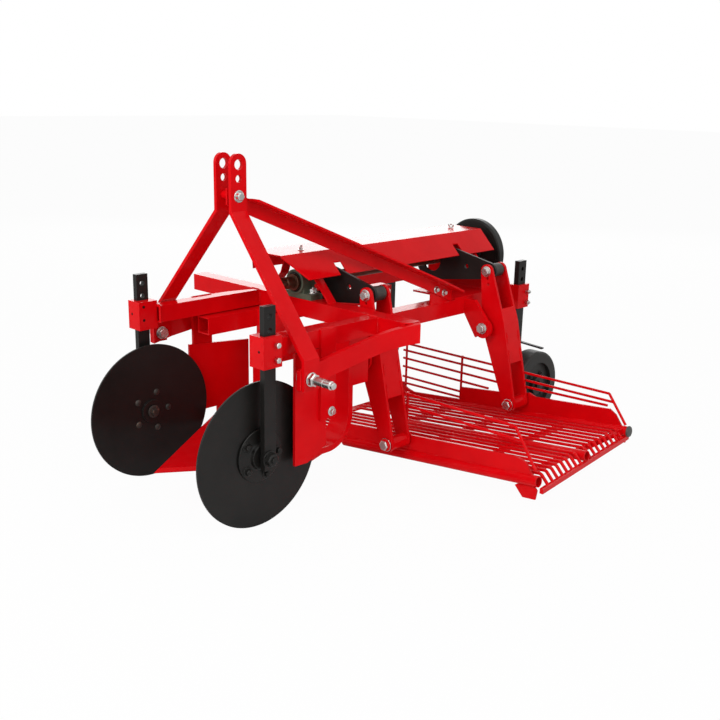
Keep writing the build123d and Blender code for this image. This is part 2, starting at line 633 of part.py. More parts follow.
SIEVE_PLATES = (            # name, rear face X, left end, outline above the pipe from right to left
    ("front", FRONT_PLATE_X, 688, ((0, -300), (251, -270), (624, -230), (660, -238))),
    ("rear", REAR_PLATE_X, 644, (
        (0, -372), (-240, -374), (-240, -337), (-215, -350), (-186, -357), (26, -334), (26, -290),
        (202, -268), (303, -247), (326, -255), (590, -230), (612, -243),
    )),
)
for (name, plate_x, left_end, outline), (_, front_face, pivot, _) in zip(SIEVE_PLATES, ROCKERS):
    bottom = (pivot[0] + LOWER_LEVER[0], pivot[1] + LOWER_LEVER[1])
    with BuildPart() as sieve_plate:
        foot = [(left_end, pipe_height(left_end)), (0, pipe_height(0))]
        plate(across(plate_x), list(outline) + foot, SIDE_PLATE)
        rod((plate_x + 3, 0, pipe_height(0)), (plate_x + 3, 760, pipe_height(760)), PIPE_RADIUS,
            mode=Mode.SUBTRACT)
        rod((plate_x + SIDE_PLATE, *bottom), (front_face + 2, *bottom), PIVOT_RADIUS)
        rod((front_face + 2, *bottom), (front_face + 10, *bottom), 18)
        rod((plate_x, *bottom), (plate_x + SIDE_PLATE, *bottom), 22)
    finish(sieve_plate, f"sieve_plate_{name}")

# Guard rods stand above each sieve plate; the last one slants down to the end of the plate.
# Uprights are welded behind the plate, each from its foot to just above the top rod it carries.
GUARD_RADIUS = 4.0
FRONT_GUARD = (             # right end, its height, left end, its height
    (237, -151, 618, -151), (237, -185, 641, -185),
)
REAR_GUARD = (
    (-240, -187, 583, -184), (-240, -213, 600, -207), (-240, -242, 240, -240), (-240, -273, 138, -270),
    (-240, -310, 24, -308), (-240, -334, 24, -328), (240, -232, 580, -222),
)
GUARDS = (                  # name, plate X, rods, end rod, uprights as (Y, foot, head)
    ("front", FRONT_PLATE_X, FRONT_GUARD, ((618, -151), (688, -253)), ((241, -280, -147),)),
    ("rear", REAR_PLATE_X, REAR_GUARD, ((583, -184), (646, -268)),
     ((-232, -365, -183), (18, -338, -183), (236, -270, -183))),
)
for name, plate_x, runs, end_rod, uprights in GUARDS:
    with BuildPart() as guard:
        x = plate_x + 3
        for right, right_z, left, left_z in runs:
            rod((x, right, right_z), (x, left, left_z), GUARD_RADIUS)
        rod((x, *end_rod[0]), (x, *end_rod[1]), GUARD_RADIUS)
        for y, foot_z, head_z in uprights:
            rod((plate_x - GUARD_RADIUS, y, foot_z), (plate_x - GUARD_RADIUS, y, head_z), GUARD_RADIUS)
    finish(guard, f"sieve_guard_{name}")
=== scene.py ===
"""Looks of a mounted potato digger: finishes, fasteners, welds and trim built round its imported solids.

X points forward, Y to the machine's left and Z up. Sizes are millimetres unless they say metres, and
every finished mesh is set down in metres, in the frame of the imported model.
"""

import logging
import math
from dataclasses import dataclass
from enum import Enum

import bmesh
import bpy
from mathutils import Matrix, Vector


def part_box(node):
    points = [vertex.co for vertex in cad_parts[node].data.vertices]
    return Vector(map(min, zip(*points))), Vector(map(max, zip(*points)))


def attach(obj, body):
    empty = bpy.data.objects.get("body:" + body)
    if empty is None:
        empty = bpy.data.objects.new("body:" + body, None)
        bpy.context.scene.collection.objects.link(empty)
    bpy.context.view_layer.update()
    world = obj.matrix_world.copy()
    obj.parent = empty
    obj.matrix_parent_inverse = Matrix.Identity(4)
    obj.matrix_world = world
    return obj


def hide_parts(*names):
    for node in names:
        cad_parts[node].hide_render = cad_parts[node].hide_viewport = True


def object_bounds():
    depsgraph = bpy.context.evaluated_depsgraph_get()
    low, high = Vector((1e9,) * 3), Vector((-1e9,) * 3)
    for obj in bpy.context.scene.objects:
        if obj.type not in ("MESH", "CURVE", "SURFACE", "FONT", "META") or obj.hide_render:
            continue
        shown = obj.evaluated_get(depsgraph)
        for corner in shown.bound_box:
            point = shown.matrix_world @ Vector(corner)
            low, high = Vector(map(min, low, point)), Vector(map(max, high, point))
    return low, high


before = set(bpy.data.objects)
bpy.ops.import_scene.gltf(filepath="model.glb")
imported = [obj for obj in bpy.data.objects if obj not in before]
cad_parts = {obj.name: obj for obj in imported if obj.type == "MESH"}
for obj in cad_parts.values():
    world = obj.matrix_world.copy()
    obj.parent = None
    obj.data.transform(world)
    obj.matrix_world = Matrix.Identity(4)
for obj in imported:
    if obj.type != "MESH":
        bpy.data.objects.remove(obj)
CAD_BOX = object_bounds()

log = logging.getLogger("digger")

MM = 0.001
FORWARD, LEFT, UP = Vector((1, 0, 0)), Vector((0, 1, 0)), Vector((0, 0, 1))
WHITE = (1.0, 1.0, 1.0)

Colour = tuple[float, float, float]
Span = tuple[float, float]
Pairs = tuple[Span, ...]


class Slot(Enum):
    """The record's material slots."""

    RED = "red_paint"
    BLACK = "black_paint"
    WHEEL = "tyre"
    GREEN = "green_paint"
    ZINC = "zinc"
    SHAFT = "shaft_steel"


# ------------------------------------------------------------------ places


@dataclass(frozen=True)
class Place:
    """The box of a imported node."""

    low: Vector
    high: Vector

    @classmethod
    def of(cls, node: str) -> "Place":
        """Return the box of the named node."""
        low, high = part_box(node)
        return cls(low / MM, high / MM)

    @property
    def centre(self) -> Vector:
        """Return the middle of the box."""
        return (self.low + self.high) / 2

    def at(self, x: float | None = None, y: float | None = None, z: float | None = None) -> Vector:
        """Return a point, in the middle of the box wherever it isn't given."""
        return Vector([middle if given is None else given for given, middle in zip((x, y, z), self.centre)])


class Side(Enum):
    """The two sides of the machine, with the sign of their Y."""

    LEFT = 1
    RIGHT = -1

    def outer(self, place: Place) -> float:
        """Return the Y of a box's face away from the middle of the machine."""
        return (place.high if self is Side.LEFT else place.low).y

    def inner(self, place: Place) -> float:
        """Return the Y of a box's face towards the middle of the machine."""
        return (place.low if self is Side.LEFT else place.high).y


def shaft_point(x: float) -> Vector:
    """Return the point of the drive shaft's axis at x."""
    return Place.of("flywheel").at(x)


def spokes(count: int, start: float) -> list[tuple[float, Vector]]:
    """Return the angle, in radians, and the direction of even spokes about Y.

    Args:
        count: number of spokes.
        start: angle of the first one, in degrees.

    Returns:
        The angle and the unit vector of each spoke.
    """
    angles = [math.radians(start + 360 / count * index) for index in range(count)]
    return [(angle, FORWARD * math.cos(angle) + UP * math.sin(angle)) for angle in angles]


# ------------------------------------------------------------------ shaping


class Form:
    """A mesh that is shaped step by step."""

    SHARP = math.radians(28)
    SMOOTH = math.radians(32)
    SEAM_GAP = 0.004

    def __init__(self) -> None:
        """Start an empty mesh."""
        self.mesh = bmesh.new()

    def _soften(self, verts: list[bmesh.types.BMVert], offset: float) -> None:
        """Round the sharp edges that meet the given vertices.

        Args:
            verts: vertices of the new part of the mesh.
            offset: width of the rounding.
        """
        if offset <= 0:
            return
        touched = dict.fromkeys(edge for vert in verts for edge in vert.link_edges)
        edges = [edge for edge in touched if edge.is_manifold and edge.calc_face_angle() > self.SHARP]
        bmesh.ops.bevel(
            self.mesh, geom=edges, offset=offset, offset_type="OFFSET", segments=2, profile=0.5,
            affect="EDGES", material=-1, clamp_overlap=True,
        )

    def drum(
        self, start: Vector, end: Vector, radius: float, end_radius: float | None = None,
        sides: int = 32, soften: float = 0.0, turn: float = 0.0,
    ) -> None:
        """Add a round, tapered or many-sided bar between two points.

        Args:
            start: centre of one end.
            end: centre of the other end.
            radius: radius at the start, to the corners.
            end_radius: radius at the end, or None for an even bar.
            sides: number of sides.
            soften: width of the rounding along its edges.
            turn: turn about its own axis, in radians.
        """
        run = end - start
        made = bmesh.ops.create_cone(
            self.mesh, cap_ends=True, cap_tris=False, segments=sides, radius1=radius,
            radius2=radius if end_radius is None else end_radius, depth=run.length,
            matrix=Matrix.Translation((start + end) / 2)
            @ run.to_track_quat("Z", "Y").to_matrix().to_4x4()
            @ Matrix.Rotation(turn, 4, "Z"),
        )
        self._soften(made["verts"], soften)

    def block(self, low: Vector, high: Vector, soften: float = 0.0) -> None:
        """Add a box between two corners.

        Args:
            low: lowest corner.
            high: highest corner.
            soften: width of the rounding along its edges.
        """
        place = Matrix.Translation((low + high) / 2) @ Matrix.Diagonal((*(high - low), 1.0))
        made = bmesh.ops.create_cube(self.mesh, size=1.0, matrix=place)
        self._soften(made["verts"], soften)

    def plate(self, outline: list[Vector], thickness: Vector, soften: float = 0.0) -> None:
        """Add a flat plate: a closed outline drawn out along a vector.

        Args:
            outline: corners of one face, in order.
            thickness: the way and distance that the face is drawn out.
            soften: width of the rounding along its edges.
        """
        face = self.mesh.faces.new([self.mesh.verts.new(point) for point in outline])
        grown = bmesh.ops.extrude_face_region(self.mesh, geom=[face])
        moved = [item for item in grown["geom"] if isinstance(item, bmesh.types.BMVert)]
        bmesh.ops.translate(self.mesh, vec=thickness, verts=moved)
        self._soften(list(face.verts) + moved, soften)

    def turned(self, centre: Vector, axis: Vector, profile: Pairs, steps: int = 40) -> None:
        """Add a turned shape: a profile spun full round an axis.

        Args:
            centre: point on the axis from which the profile is measured.
            axis: unit vector along the axis.
            profile: (distance along the axis, radius) points in order.
            steps: number of facets round the axis.
        """
        side = axis.orthogonal().normalized()
        verts = [self.mesh.verts.new(centre + axis * along + side * radius) for along, radius in profile]
        edges = [self.mesh.edges.new(pair) for pair in zip(verts, verts[1:])]
        bmesh.ops.spin(
            self.mesh, geom=verts + edges, cent=centre, axis=axis, dvec=(0, 0, 0), angle=math.tau,
            steps=steps, use_merge=True, use_normal_flip=False, use_duplicate=False,
        )
        bmesh.ops.remove_doubles(self.mesh, verts=self.mesh.verts[:], dist=self.SEAM_GAP)

    def hexagon(self, seat: Vector, axis: Vector, across: float, height: float, turn: float = 0.2) -> None:
        """Add a hexagon with its free corners cut back, as on a bolt head or nut.

        Args:
            seat: middle of the face that it stands on.
            axis: unit vector away from the seat.
            across: size across flats.
            height: height above the seat.
            turn: turn about its axis, in radians.
        """
        corner = across / math.sqrt(3)
        neck, top = seat + axis * height * 0.84, seat + axis * height
        self.drum(seat, neck, corner, sides=6, turn=turn)
        self.drum(neck, top, corner, end_radius=corner * 0.84, sides=6, turn=turn)
        self.drum(top - axis * 0.1, top + axis * height * 0.03, across * 0.42, sides=24)

    def bolt(self, seat: Vector, axis: Vector, across: float, stud: float = 0.0, turn: float = 0.2) -> None:
        """Add a hexagon on a washer, with the end of its stud if it is the nut's side.

        Args:
            seat: point on the clamped face.
            axis: unit vector out of that face.
            across: size across flats.
            stud: length of stud that stands out of the nut.
            turn: turn about its axis, in radians.
        """
        washer = across * 0.13
        self.drum(seat, seat + axis * washer, across * 0.86, sides=28, soften=washer * 0.3)
        self.hexagon(seat + axis * washer, axis, across, across * 0.6, turn)
        if stud > 0:
            top = seat + axis * (washer + across * 0.6)
            self.drum(top - axis, top + axis * stud, across * 0.3, sides=20, soften=0.5)

    def pivot_head(
        self, seat: Vector, axis: Vector, radius: float, washer: float, across: float, height: float,
        turn: float,
    ) -> None:
        """Add a heavy washer with the hexagon of a pivot bolt bedded on it.

        Args:
            seat: point on the face under the washer.
            axis: unit vector out of that face.
            radius: radius of the washer.
            washer: thickness of the washer.
            across: size across flats.
            height: height of the hexagon.
            turn: turn about its axis, in radians.
        """
        self.drum(seat, seat + axis * washer, radius, sides=36, soften=0.6)
        self.hexagon(seat + axis * (washer - 0.2), axis, across, height, turn)

    def bead(self, start: Vector, end: Vector, radius: float) -> None:
        """Lay a rippled weld bead of overlapping drops along a line.

        Args:
            start: first end of the seam.
            end: last end of the seam.
            radius: radius of the bead.
        """
        run = end - start
        drops = max(2, round(run.length / (radius * 0.95)))
        turn = run.to_track_quat("Z", "Y").to_matrix().to_4x4()
        for index in range(drops):
            swell = 1.0 + 0.1 * math.sin(index * 2.3)
            drop = Matrix.Translation(start + run * ((index + 0.5) / drops)) @ turn
            drop = drop @ Matrix.Diagonal((swell, swell, 0.78, 1.0))
            bmesh.ops.create_icosphere(self.mesh, subdivisions=2, radius=radius, matrix=drop)

    def seam(self, x: float | Span, y: float | Span, z: float | Span, radius: float) -> None:
        """Lay a weld bead along one axis, between the two ends that one of its places gives.

        Args:
            x: place along X, or both ends.
            y: place along Y, or both ends.
            z: place along Z, or both ends.
            radius: radius of the bead.
        """
        start, end = (
            Vector([place[index] if isinstance(place, tuple) else place for place in (x, y, z)])
            for index in (0, 1)
        )
        self.bead(start, end, radius)

    def done(self, name: str, body: str, slot: Slot, material: bpy.types.Material) -> bpy.types.Object:
        """Turn the mesh into a finished piece that rides on a body.

        Args:
            name: name of the piece.
            body: body that it moves with.
            slot: the record's slot of its finish; not used.
            material: its material.

        Returns:
            The piece, at the origin, with its place in its mesh.
        """
        bmesh.ops.scale(self.mesh, vec=(MM, MM, MM), verts=self.mesh.verts[:])
        bmesh.ops.recalc_face_normals(self.mesh, faces=self.mesh.faces[:])
        data = bpy.data.meshes.new(name)
        for face in self.mesh.faces:
            face.smooth = True
        self.mesh.to_mesh(data)
        self.mesh.free()
        data.set_sharp_from_angle(angle=self.SMOOTH)
        data.materials.append(material)
        piece = bpy.data.objects.new(name, data)
        bpy.context.scene.collection.objects.link(piece)
        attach(piece, body)
        log.info("%s: %d faces on %s", name, len(data.polygons), body)
        return piece


# ------------------------------------------------------------------ shared effects


Value = float | Colour | bpy.types.NodeSocket


class Wiring:
    """Shader nodes that are added and wired step by step in one tree."""

    def __init__(self, tree: bpy.types.NodeTree) -> None:
        """Take the tree that the nodes join."""
        self.tree = tree

    def feed(self, socket: bpy.types.NodeSocket, value: Value) -> None:
        """Set an input to a number or colour, or link it.

        Args:
            socket: the input.
            value: its number, its colour, or the output that it is linked to.
        """
        if isinstance(value, bpy.types.NodeSocket):
            self.tree.links.new(value, socket)
        else:
            socket.default_value = (*value, 1.0) if isinstance(value, tuple) else value

    def node(self, kind: str, inputs: dict[str | int, Value]) -> bpy.types.Node:
        """Add a node and feed its inputs.

        Args:
            kind: the node's type, without the word that all of them start with.
            inputs: value of each named or numbered input.

        Returns:
            The node.
        """
        node = self.tree.nodes.new("ShaderNode" + kind)
        for label, value in inputs.items():
            self.feed(node.inputs[label], value)
        return node

    def sum(self, operation: str, *values: Value) -> bpy.types.NodeSocket:
        """Add a sum and return its result.

        Args:
            operation: name of the sum.
            values: what goes into it, in order.

        Returns:
            The result.
        """
        node = self.node("Math", dict(enumerate(values)))
        node.operation = operation
        return node.outputs[0]

    def noise(self, scale: Value, detail: float, roughness: float = 0.5) -> bpy.types.NodeSocket:
        """Add a noise texture on the piece's own coordinates.

        Args:
            scale: how closely it repeats.
            detail: how fine it goes.
            roughness: weight of the finer noise.

        Returns:
            The strength of the noise.
        """
        where = self.node("TexCoord", {}).outputs["Object"]
        inputs = {"Vector": where, "Scale": scale, "Detail": detail, "Roughness": roughness}
        return self.node("TexNoise", inputs).outputs["Fac"]

    def spread(
        self, value: Value, low: Value, high: Value, to_low: float = 0.0, to_high: float = 1.0
    ) -> bpy.types.NodeSocket:
        """Spread a value between two limits over a new range, and hold it inside that range.

        Args:
            value: what is spread.
            low: value that gives to_low.
            high: value that gives to_high.
            to_low: result at low.
            to_high: result at high.

        Returns:
            The result.
        """
        inputs = {"Value": value, "From Min": low, "From Max": high, "To Min": to_low, "To Max": to_high}
        node = self.node("MapRange", inputs)
        node.clamp = True
        return node.outputs["Result"]

    def mix(self, mask: Value, under: Value, over: Value) -> bpy.types.NodeSocket:
        """Lay one colour over another through a mask.

        Args:
            mask: how much of the upper colour shows.
            under: lower colour.
            over: upper colour.

        Returns:
            The mixed colour.
        """
        node = self.node("Mix", {"Factor": mask, 6: under, 7: over})
        node.data_type = "RGBA"
        return node.outputs[2]

    def rounded(self, width: Value) -> bpy.types.NodeSocket:
        """Return the normal with the edges rounded over a width in metres."""
        node = self.node("Bevel", {"Radius": width})
        node.samples = 4
        return node.outputs["Normal"]

    def effect(self, group: bpy.types.NodeTree, **values: float) -> bpy.types.NodeSocket:
        """Place a shared group with its own values.

        Args:
            group: the shared group.
            values: number for each named input.

        Returns:
            What the group puts out.
        """
        node = self.node("Group", {})
        node.node_tree = group
        for label, value in values.items():
            node.inputs[label].default_value = value
        return node.outputs[0]


class Effect(Wiring):
    """A shader group with numbers in and one mask, value or height out."""

    def __init__(self, name: str, gives: str, **inputs: float) -> None:
        """Start the group.

        Args:
            name: the group's name.
            gives: name of what it puts out.
            inputs: default of each number that it takes.
        """
        super().__init__(bpy.data.node_groups.new(name, "ShaderNodeTree"))
        sockets = self.tree.interface
        for label, default in inputs.items():
            taken = sockets.new_socket(name=label, in_out="INPUT", socket_type="NodeSocketFloat")
            taken.default_value = default
        sockets.new_socket(name=gives, in_out="OUTPUT", socket_type="NodeSocketFloat")
        self.given = self.tree.nodes.new("NodeGroupInput").outputs
        self.result = self.tree.nodes.new("NodeGroupOutput").inputs[gives]

    def done(self, value: bpy.types.NodeSocket) -> bpy.types.NodeTree:
        """Put the value out and return the group."""
        self.feed(self.result, value)
        return self.tree


class Effects:
    """Shader groups that several finishes share."""

    def __init__(self) -> None:
        """Build every group once."""
        self.edge_wear_and_highlight = self._edge_wear_and_highlight()
        self.orange_peel = self._orange_peel()
        self.dust_and_sheen = self._dust_and_sheen()
        self.mottle = self._mottle()
        self.rust = self._rust()

    @staticmethod
    def _edge_wear_and_highlight() -> bpy.types.NodeTree:
        """Build the mask of rubbed edges, which also lays the painted edge highlight on the red enamel: where
        the rounded normal leaves the face's own.
        """
        group = Effect("edge_wear_and_highlight", "Mask", Width=0.0012, Patchiness=160.0, Amount=0.5)
        facing = group.node("NewGeometry", {}).outputs["Normal"]
        across = group.node("VectorMath", {0: group.rounded(group.given["Width"]), 1: facing})
        across.operation = "DOT_PRODUCT"
        edge = group.spread(across.outputs["Value"], 0.985, 0.86)
        patches = group.spread(group.noise(group.given["Patchiness"], 4.0, 0.6), 0.42, 0.62)
        return group.done(group.sum("MULTIPLY", group.sum("MULTIPLY", edge, patches), group.given["Amount"]))

    @staticmethod
    def _orange_peel() -> bpy.types.NodeTree:
        """Build the fine waviness of a sprayed coat."""
        group = Effect("orange_peel", "Height", Scale=420.0)
        fine = group.noise(group.given["Scale"], 1.0)
        broad = group.noise(group.sum("MULTIPLY", group.given["Scale"], 0.08), 0.0)
        return group.done(group.sum("ADD", fine, group.sum("MULTIPLY", broad, 1.8)))

    @staticmethod
    def _dust_and_sheen() -> bpy.types.NodeTree:
        """Build the mask of settled dust, which on the red enamel lays a painted sheen: thickest on faces
        that look up.
        """
        group = Effect("settled_dust_and_sheen", "Mask", Amount=0.2, Scale=35.0)
        facing = group.node("NewGeometry", {}).outputs["Normal"]
        rise = group.node("SeparateXYZ", {0: facing}).outputs["Z"]
        upward = group.spread(rise, -0.2, 1.0, 0.25, 1.0)
        cloud = group.spread(group.noise(group.given["Scale"], 6.0, 0.62), 0.4, 0.72)
        return group.done(group.sum("MULTIPLY", group.sum("MULTIPLY", upward, cloud), group.given["Amount"]))

    @staticmethod
    def _mottle() -> bpy.types.NodeTree:
        """Build the slow unevenness of a coat's colour and gloss."""
        group = Effect("mottle", "Value", Scale=9.0)
        return group.done(group.spread(group.noise(group.given["Scale"], 5.0, 0.55), 0.3, 0.7))

    @staticmethod
    def _rust() -> bpy.types.NodeTree:
        """Build the mask of small rust patches."""
        group = Effect("rust_patches", "Mask", Scale=90.0, Amount=0.4)
        start = group.spread(group.given["Amount"], 0.0, 1.0, 0.72, 0.36)
        noise = group.noise(group.given["Scale"], 8.0, 0.7)
        return group.done(group.spread(noise, start, group.sum("ADD", start, 0.12)))


# ------------------------------------------------------------------ finishes


@dataclass(frozen=True)
class Finish:
    """A surface finish: its colours and how far each shared effect shows on it. Its widths are metres."""

    name: str
    slot: Slot
    colour: Colour
    deep: Colour
    # Colour on rubbed edges; on the red enamel a light pink that is a painted highlight along the edges.
    worn: Colour
    roughness: Span
    metallic: float = 0.0
    specular: float = 0.5
    mottle_scale: float = 11.0
    peel_scale: float = 420.0
    peel_depth: float = 0.00002
    edge_width: float = 0.0011
    # Share of the edge mask; on the red enamel it sets how strongly the painted edge highlight shows.
    wear_and_highlight: float = 0.4
    dust_and_sheen: float = 0.12
    # Colour of settled dust; on the red enamel a light pink that is a painted sheen on faces that look up.
    dust_and_sheen_colour: Colour = (0.45, 0.38, 0.32)
    dust_dulling: float = 0.5
    rust: float = 0.0
    rust_scale: float = 90.0
    rust_colour: Colour = (0.16, 0.06, 0.028)

    def made(self, effects: Effects) -> bpy.types.Material:
        """Build the material.

        Args:
            effects: the shared shader groups.

        Returns:
            The finished material.
        """
        material = bpy.data.materials.new(self.name)
        material.use_nodes = True
        wiring = Wiring(material.node_tree)
        mottle = wiring.effect(effects.mottle, Scale=self.mottle_scale)
        colour = wiring.mix(mottle, self.colour, self.deep)
        if self.rust > 0:
            rust = wiring.effect(effects.rust, Scale=self.rust_scale, Amount=self.rust)
            colour = wiring.mix(rust, colour, self.rust_colour)
        # Rubbed edges take the worn colour, which on the red enamel is a painted highlight along the edges.
        wear_and_highlight = wiring.effect(effects.edge_wear_and_highlight, Width=self.edge_width, Amount=self.wear_and_highlight)
        # Faces that look up take the dust colour, which on the red enamel is a painted sheen.
        dust_and_sheen = wiring.effect(effects.dust_and_sheen, Amount=self.dust_and_sheen)
        colour = wiring.mix(dust_and_sheen, wiring.mix(wear_and_highlight, colour, self.worn), self.dust_and_sheen_colour)
        gloss = wiring.spread(mottle, 0.0, 1.0, *self.roughness)
        dulled = wiring.node("Math", {0: dust_and_sheen, 1: self.dust_dulling, 2: gloss})
        dulled.operation, dulled.use_clamp = "MULTIPLY_ADD", True
        peel = wiring.effect(effects.orange_peel, Scale=self.peel_scale)
        rounded = wiring.rounded(self.edge_width)
        waves = {"Strength": 1.0, "Distance": self.peel_depth, "Height": peel, "Normal": rounded}
        shader = material.node_tree.nodes["Principled BSDF"]
        for label, value in (
            ("Metallic", self.metallic), ("Specular IOR Level", self.specular), ("Base Color", colour),
            ("Roughness", dulled.outputs[0]), ("Normal", wiring.node("Bump", waves).outputs["Normal"]),
        ):
            wiring.feed(shader.inputs[label], value)
        return material


RED_ENAMEL = Finish(
    name="red_enamel", slot=Slot.RED, colour=(0.78, 0.0020, 0.0052),
    # The worn colour here is a light pink: a painted highlight along the edges.
    deep=(0.69, 0.0012, 0.0042), worn=(0.86, 0.08, 0.08),
    roughness=(0.13, 0.19), specular=0.09, wear_and_highlight=0.45, dust_and_sheen=0.03,
    # The dust colour here is a light pink: a painted sheen on faces that look up.
    dust_and_sheen_colour=(0.80, 0.12, 0.12),
)
BLACK_ENAMEL = Finish(
    name="black_enamel", slot=Slot.BLACK, colour=(0.006, 0.006, 0.0055),
    deep=(0.010, 0.009, 0.008), worn=(0.10, 0.09, 0.08),
    roughness=(0.32, 0.43), specular=0.26, wear_and_highlight=0.5, dust_and_sheen=0.06, dust_and_sheen_colour=(0.09, 0.075, 0.06),
)
WHEEL_ENAMEL = Finish(
    name="wheel_enamel", slot=Slot.WHEEL, colour=(0.014, 0.014, 0.013),
    deep=(0.022, 0.020, 0.018), worn=(0.12, 0.11, 0.10),
    roughness=(0.42, 0.55), specular=0.3, wear_and_highlight=0.4, dust_and_sheen=0.18, dust_and_sheen_colour=(0.13, 0.12, 0.10),
)
RUSTY_ENAMEL = Finish(
    name="rusty_black_enamel", slot=Slot.BLACK, colour=(0.014, 0.012, 0.010),
    deep=(0.022, 0.016, 0.012), worn=(0.12, 0.07, 0.05),
    roughness=(0.4, 0.55), specular=0.4, wear_and_highlight=0.6, rust=0.42, rust_scale=70.0,
)
CAST_GREEN = Finish(
    name="cast_green_paint", slot=Slot.GREEN, colour=(0.085, 0.125, 0.080),
    deep=(0.060, 0.090, 0.058), worn=(0.25, 0.26, 0.22),
    roughness=(0.4, 0.52), specular=0.45, peel_scale=260.0, peel_depth=0.00012, wear_and_highlight=0.5, dust_and_sheen=0.2,
)
BRIGHT_ZINC = Finish(
    name="bright_zinc", slot=Slot.ZINC, colour=(0.66, 0.66, 0.64),
    deep=(0.52, 0.52, 0.50), worn=(0.80, 0.80, 0.78),
    roughness=(0.20, 0.32), metallic=1.0, peel_scale=700.0, peel_depth=0.00001, wear_and_highlight=0.3, dust_and_sheen=0.06,
    edge_width=0.0006,
)
BROWN_STEEL = Finish(
    name="browned_shaft_steel", slot=Slot.SHAFT, colour=(0.17, 0.085, 0.052),
    deep=(0.10, 0.048, 0.030), worn=(0.42, 0.30, 0.22),
    roughness=(0.30, 0.46), metallic=0.75, peel_scale=500.0, peel_depth=0.00002, wear_and_highlight=0.7, rust=0.5,
    rust_scale=140.0, dust_and_sheen=0.05,
)
GREY_PLASTIC = Finish(
    name="grey_plastic_cap", slot=Slot.BLACK, colour=(0.070, 0.068, 0.064),
    deep=(0.055, 0.053, 0.050), worn=(0.14, 0.13, 0.12),
    roughness=(0.45, 0.55), specular=0.45, peel_scale=900.0, peel_depth=0.00003, wear_and_highlight=0.3, dust_and_sheen=0.15,
)
HOLE_SHADE = Finish(
    name="drilled_hole_shade", slot=Slot.BLACK, colour=(0.006, 0.004, 0.004),
    deep=(0.010, 0.005, 0.005), worn=(0.03, 0.01, 0.01),
    roughness=(0.7, 0.8), specular=0.1, wear_and_highlight=0.1, dust_and_sheen=0.0,
)


class Finishes:
    """Every finish of the machine, made once, and the nodes that wear them."""

    ALL = (
        RED_ENAMEL, BLACK_ENAMEL, WHEEL_ENAMEL, RUSTY_ENAMEL, CAST_GREEN, BRIGHT_ZINC, BROWN_STEEL,
        GREY_PLASTIC, HOLE_SHADE,
    )
    PAIRED_ENDS = {
        "left right": {
            RED_ENAMEL: (
                "mast", "hitch_arm", "shank_hanger", "shank", "side_plate", "plate_hanger", "disc_bar",
                "disc_clamp", "wheel_clamp",
            ),
            BLACK_ENAMEL: ("disc", "disc_post", "wheel_post"),
            WHEEL_ENAMEL: ("wheel",),
            BRIGHT_ZINC: ("hitch_pin",),
        },
        "front rear": {
            RED_ENAMEL: ("rocker_bracket", "rocker", "sieve_plate", "sieve_guard"),
            BLACK_ENAMEL: ("conrod",),
            CAST_GREEN: ("bearing",),
        },
    }
    SINGLE = {
        RED_ENAMEL: (
            "mast_spacer", "mast_brace", "brace_upright", "front_beam", "left_rail", "right_rail",
            "right_wheel_rail", "rear_deck", "share", "shaft_cover", "cover_struts", "sieve_rods",
        ),
        BLACK_ENAMEL: ("flywheel",),
        BROWN_STEEL: ("crankshaft",),
    }

    def __init__(self) -> None:
        """Make the shared effects and every material."""
        effects = Effects()
        self.made = {finish: finish.made(effects) for finish in self.ALL}

    def dress(self) -> None:
        """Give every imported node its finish."""
        worn = {name: finish for finish, names in self.SINGLE.items() for name in names}
        for ends, table in self.PAIRED_ENDS.items():
            for finish, names in table.items():
                worn.update({f"{name}_{end}": finish for name in names for end in ends.split()})
        for name, finish in worn.items():
            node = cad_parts[name]
            node.data.materials.clear()
            node.data.materials.append(self.made[finish])
        log.info("dressed %d nodes, left out %s", len(worn), sorted(set(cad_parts) - set(worn)))

    def piece(self, form: Form, name: str, body: str, finish: Finish) -> bpy.types.Object:
        """Finish a form with one of the finishes.

        Args:
            form: the shaped mesh.
            name: name of the piece.
            body: body that it rides on.
            finish: its finish.

        Returns:
            The piece.
        """
        return form.done(name, body, finish.slot, self.made[finish])


# ------------------------------------------------------------------ studio


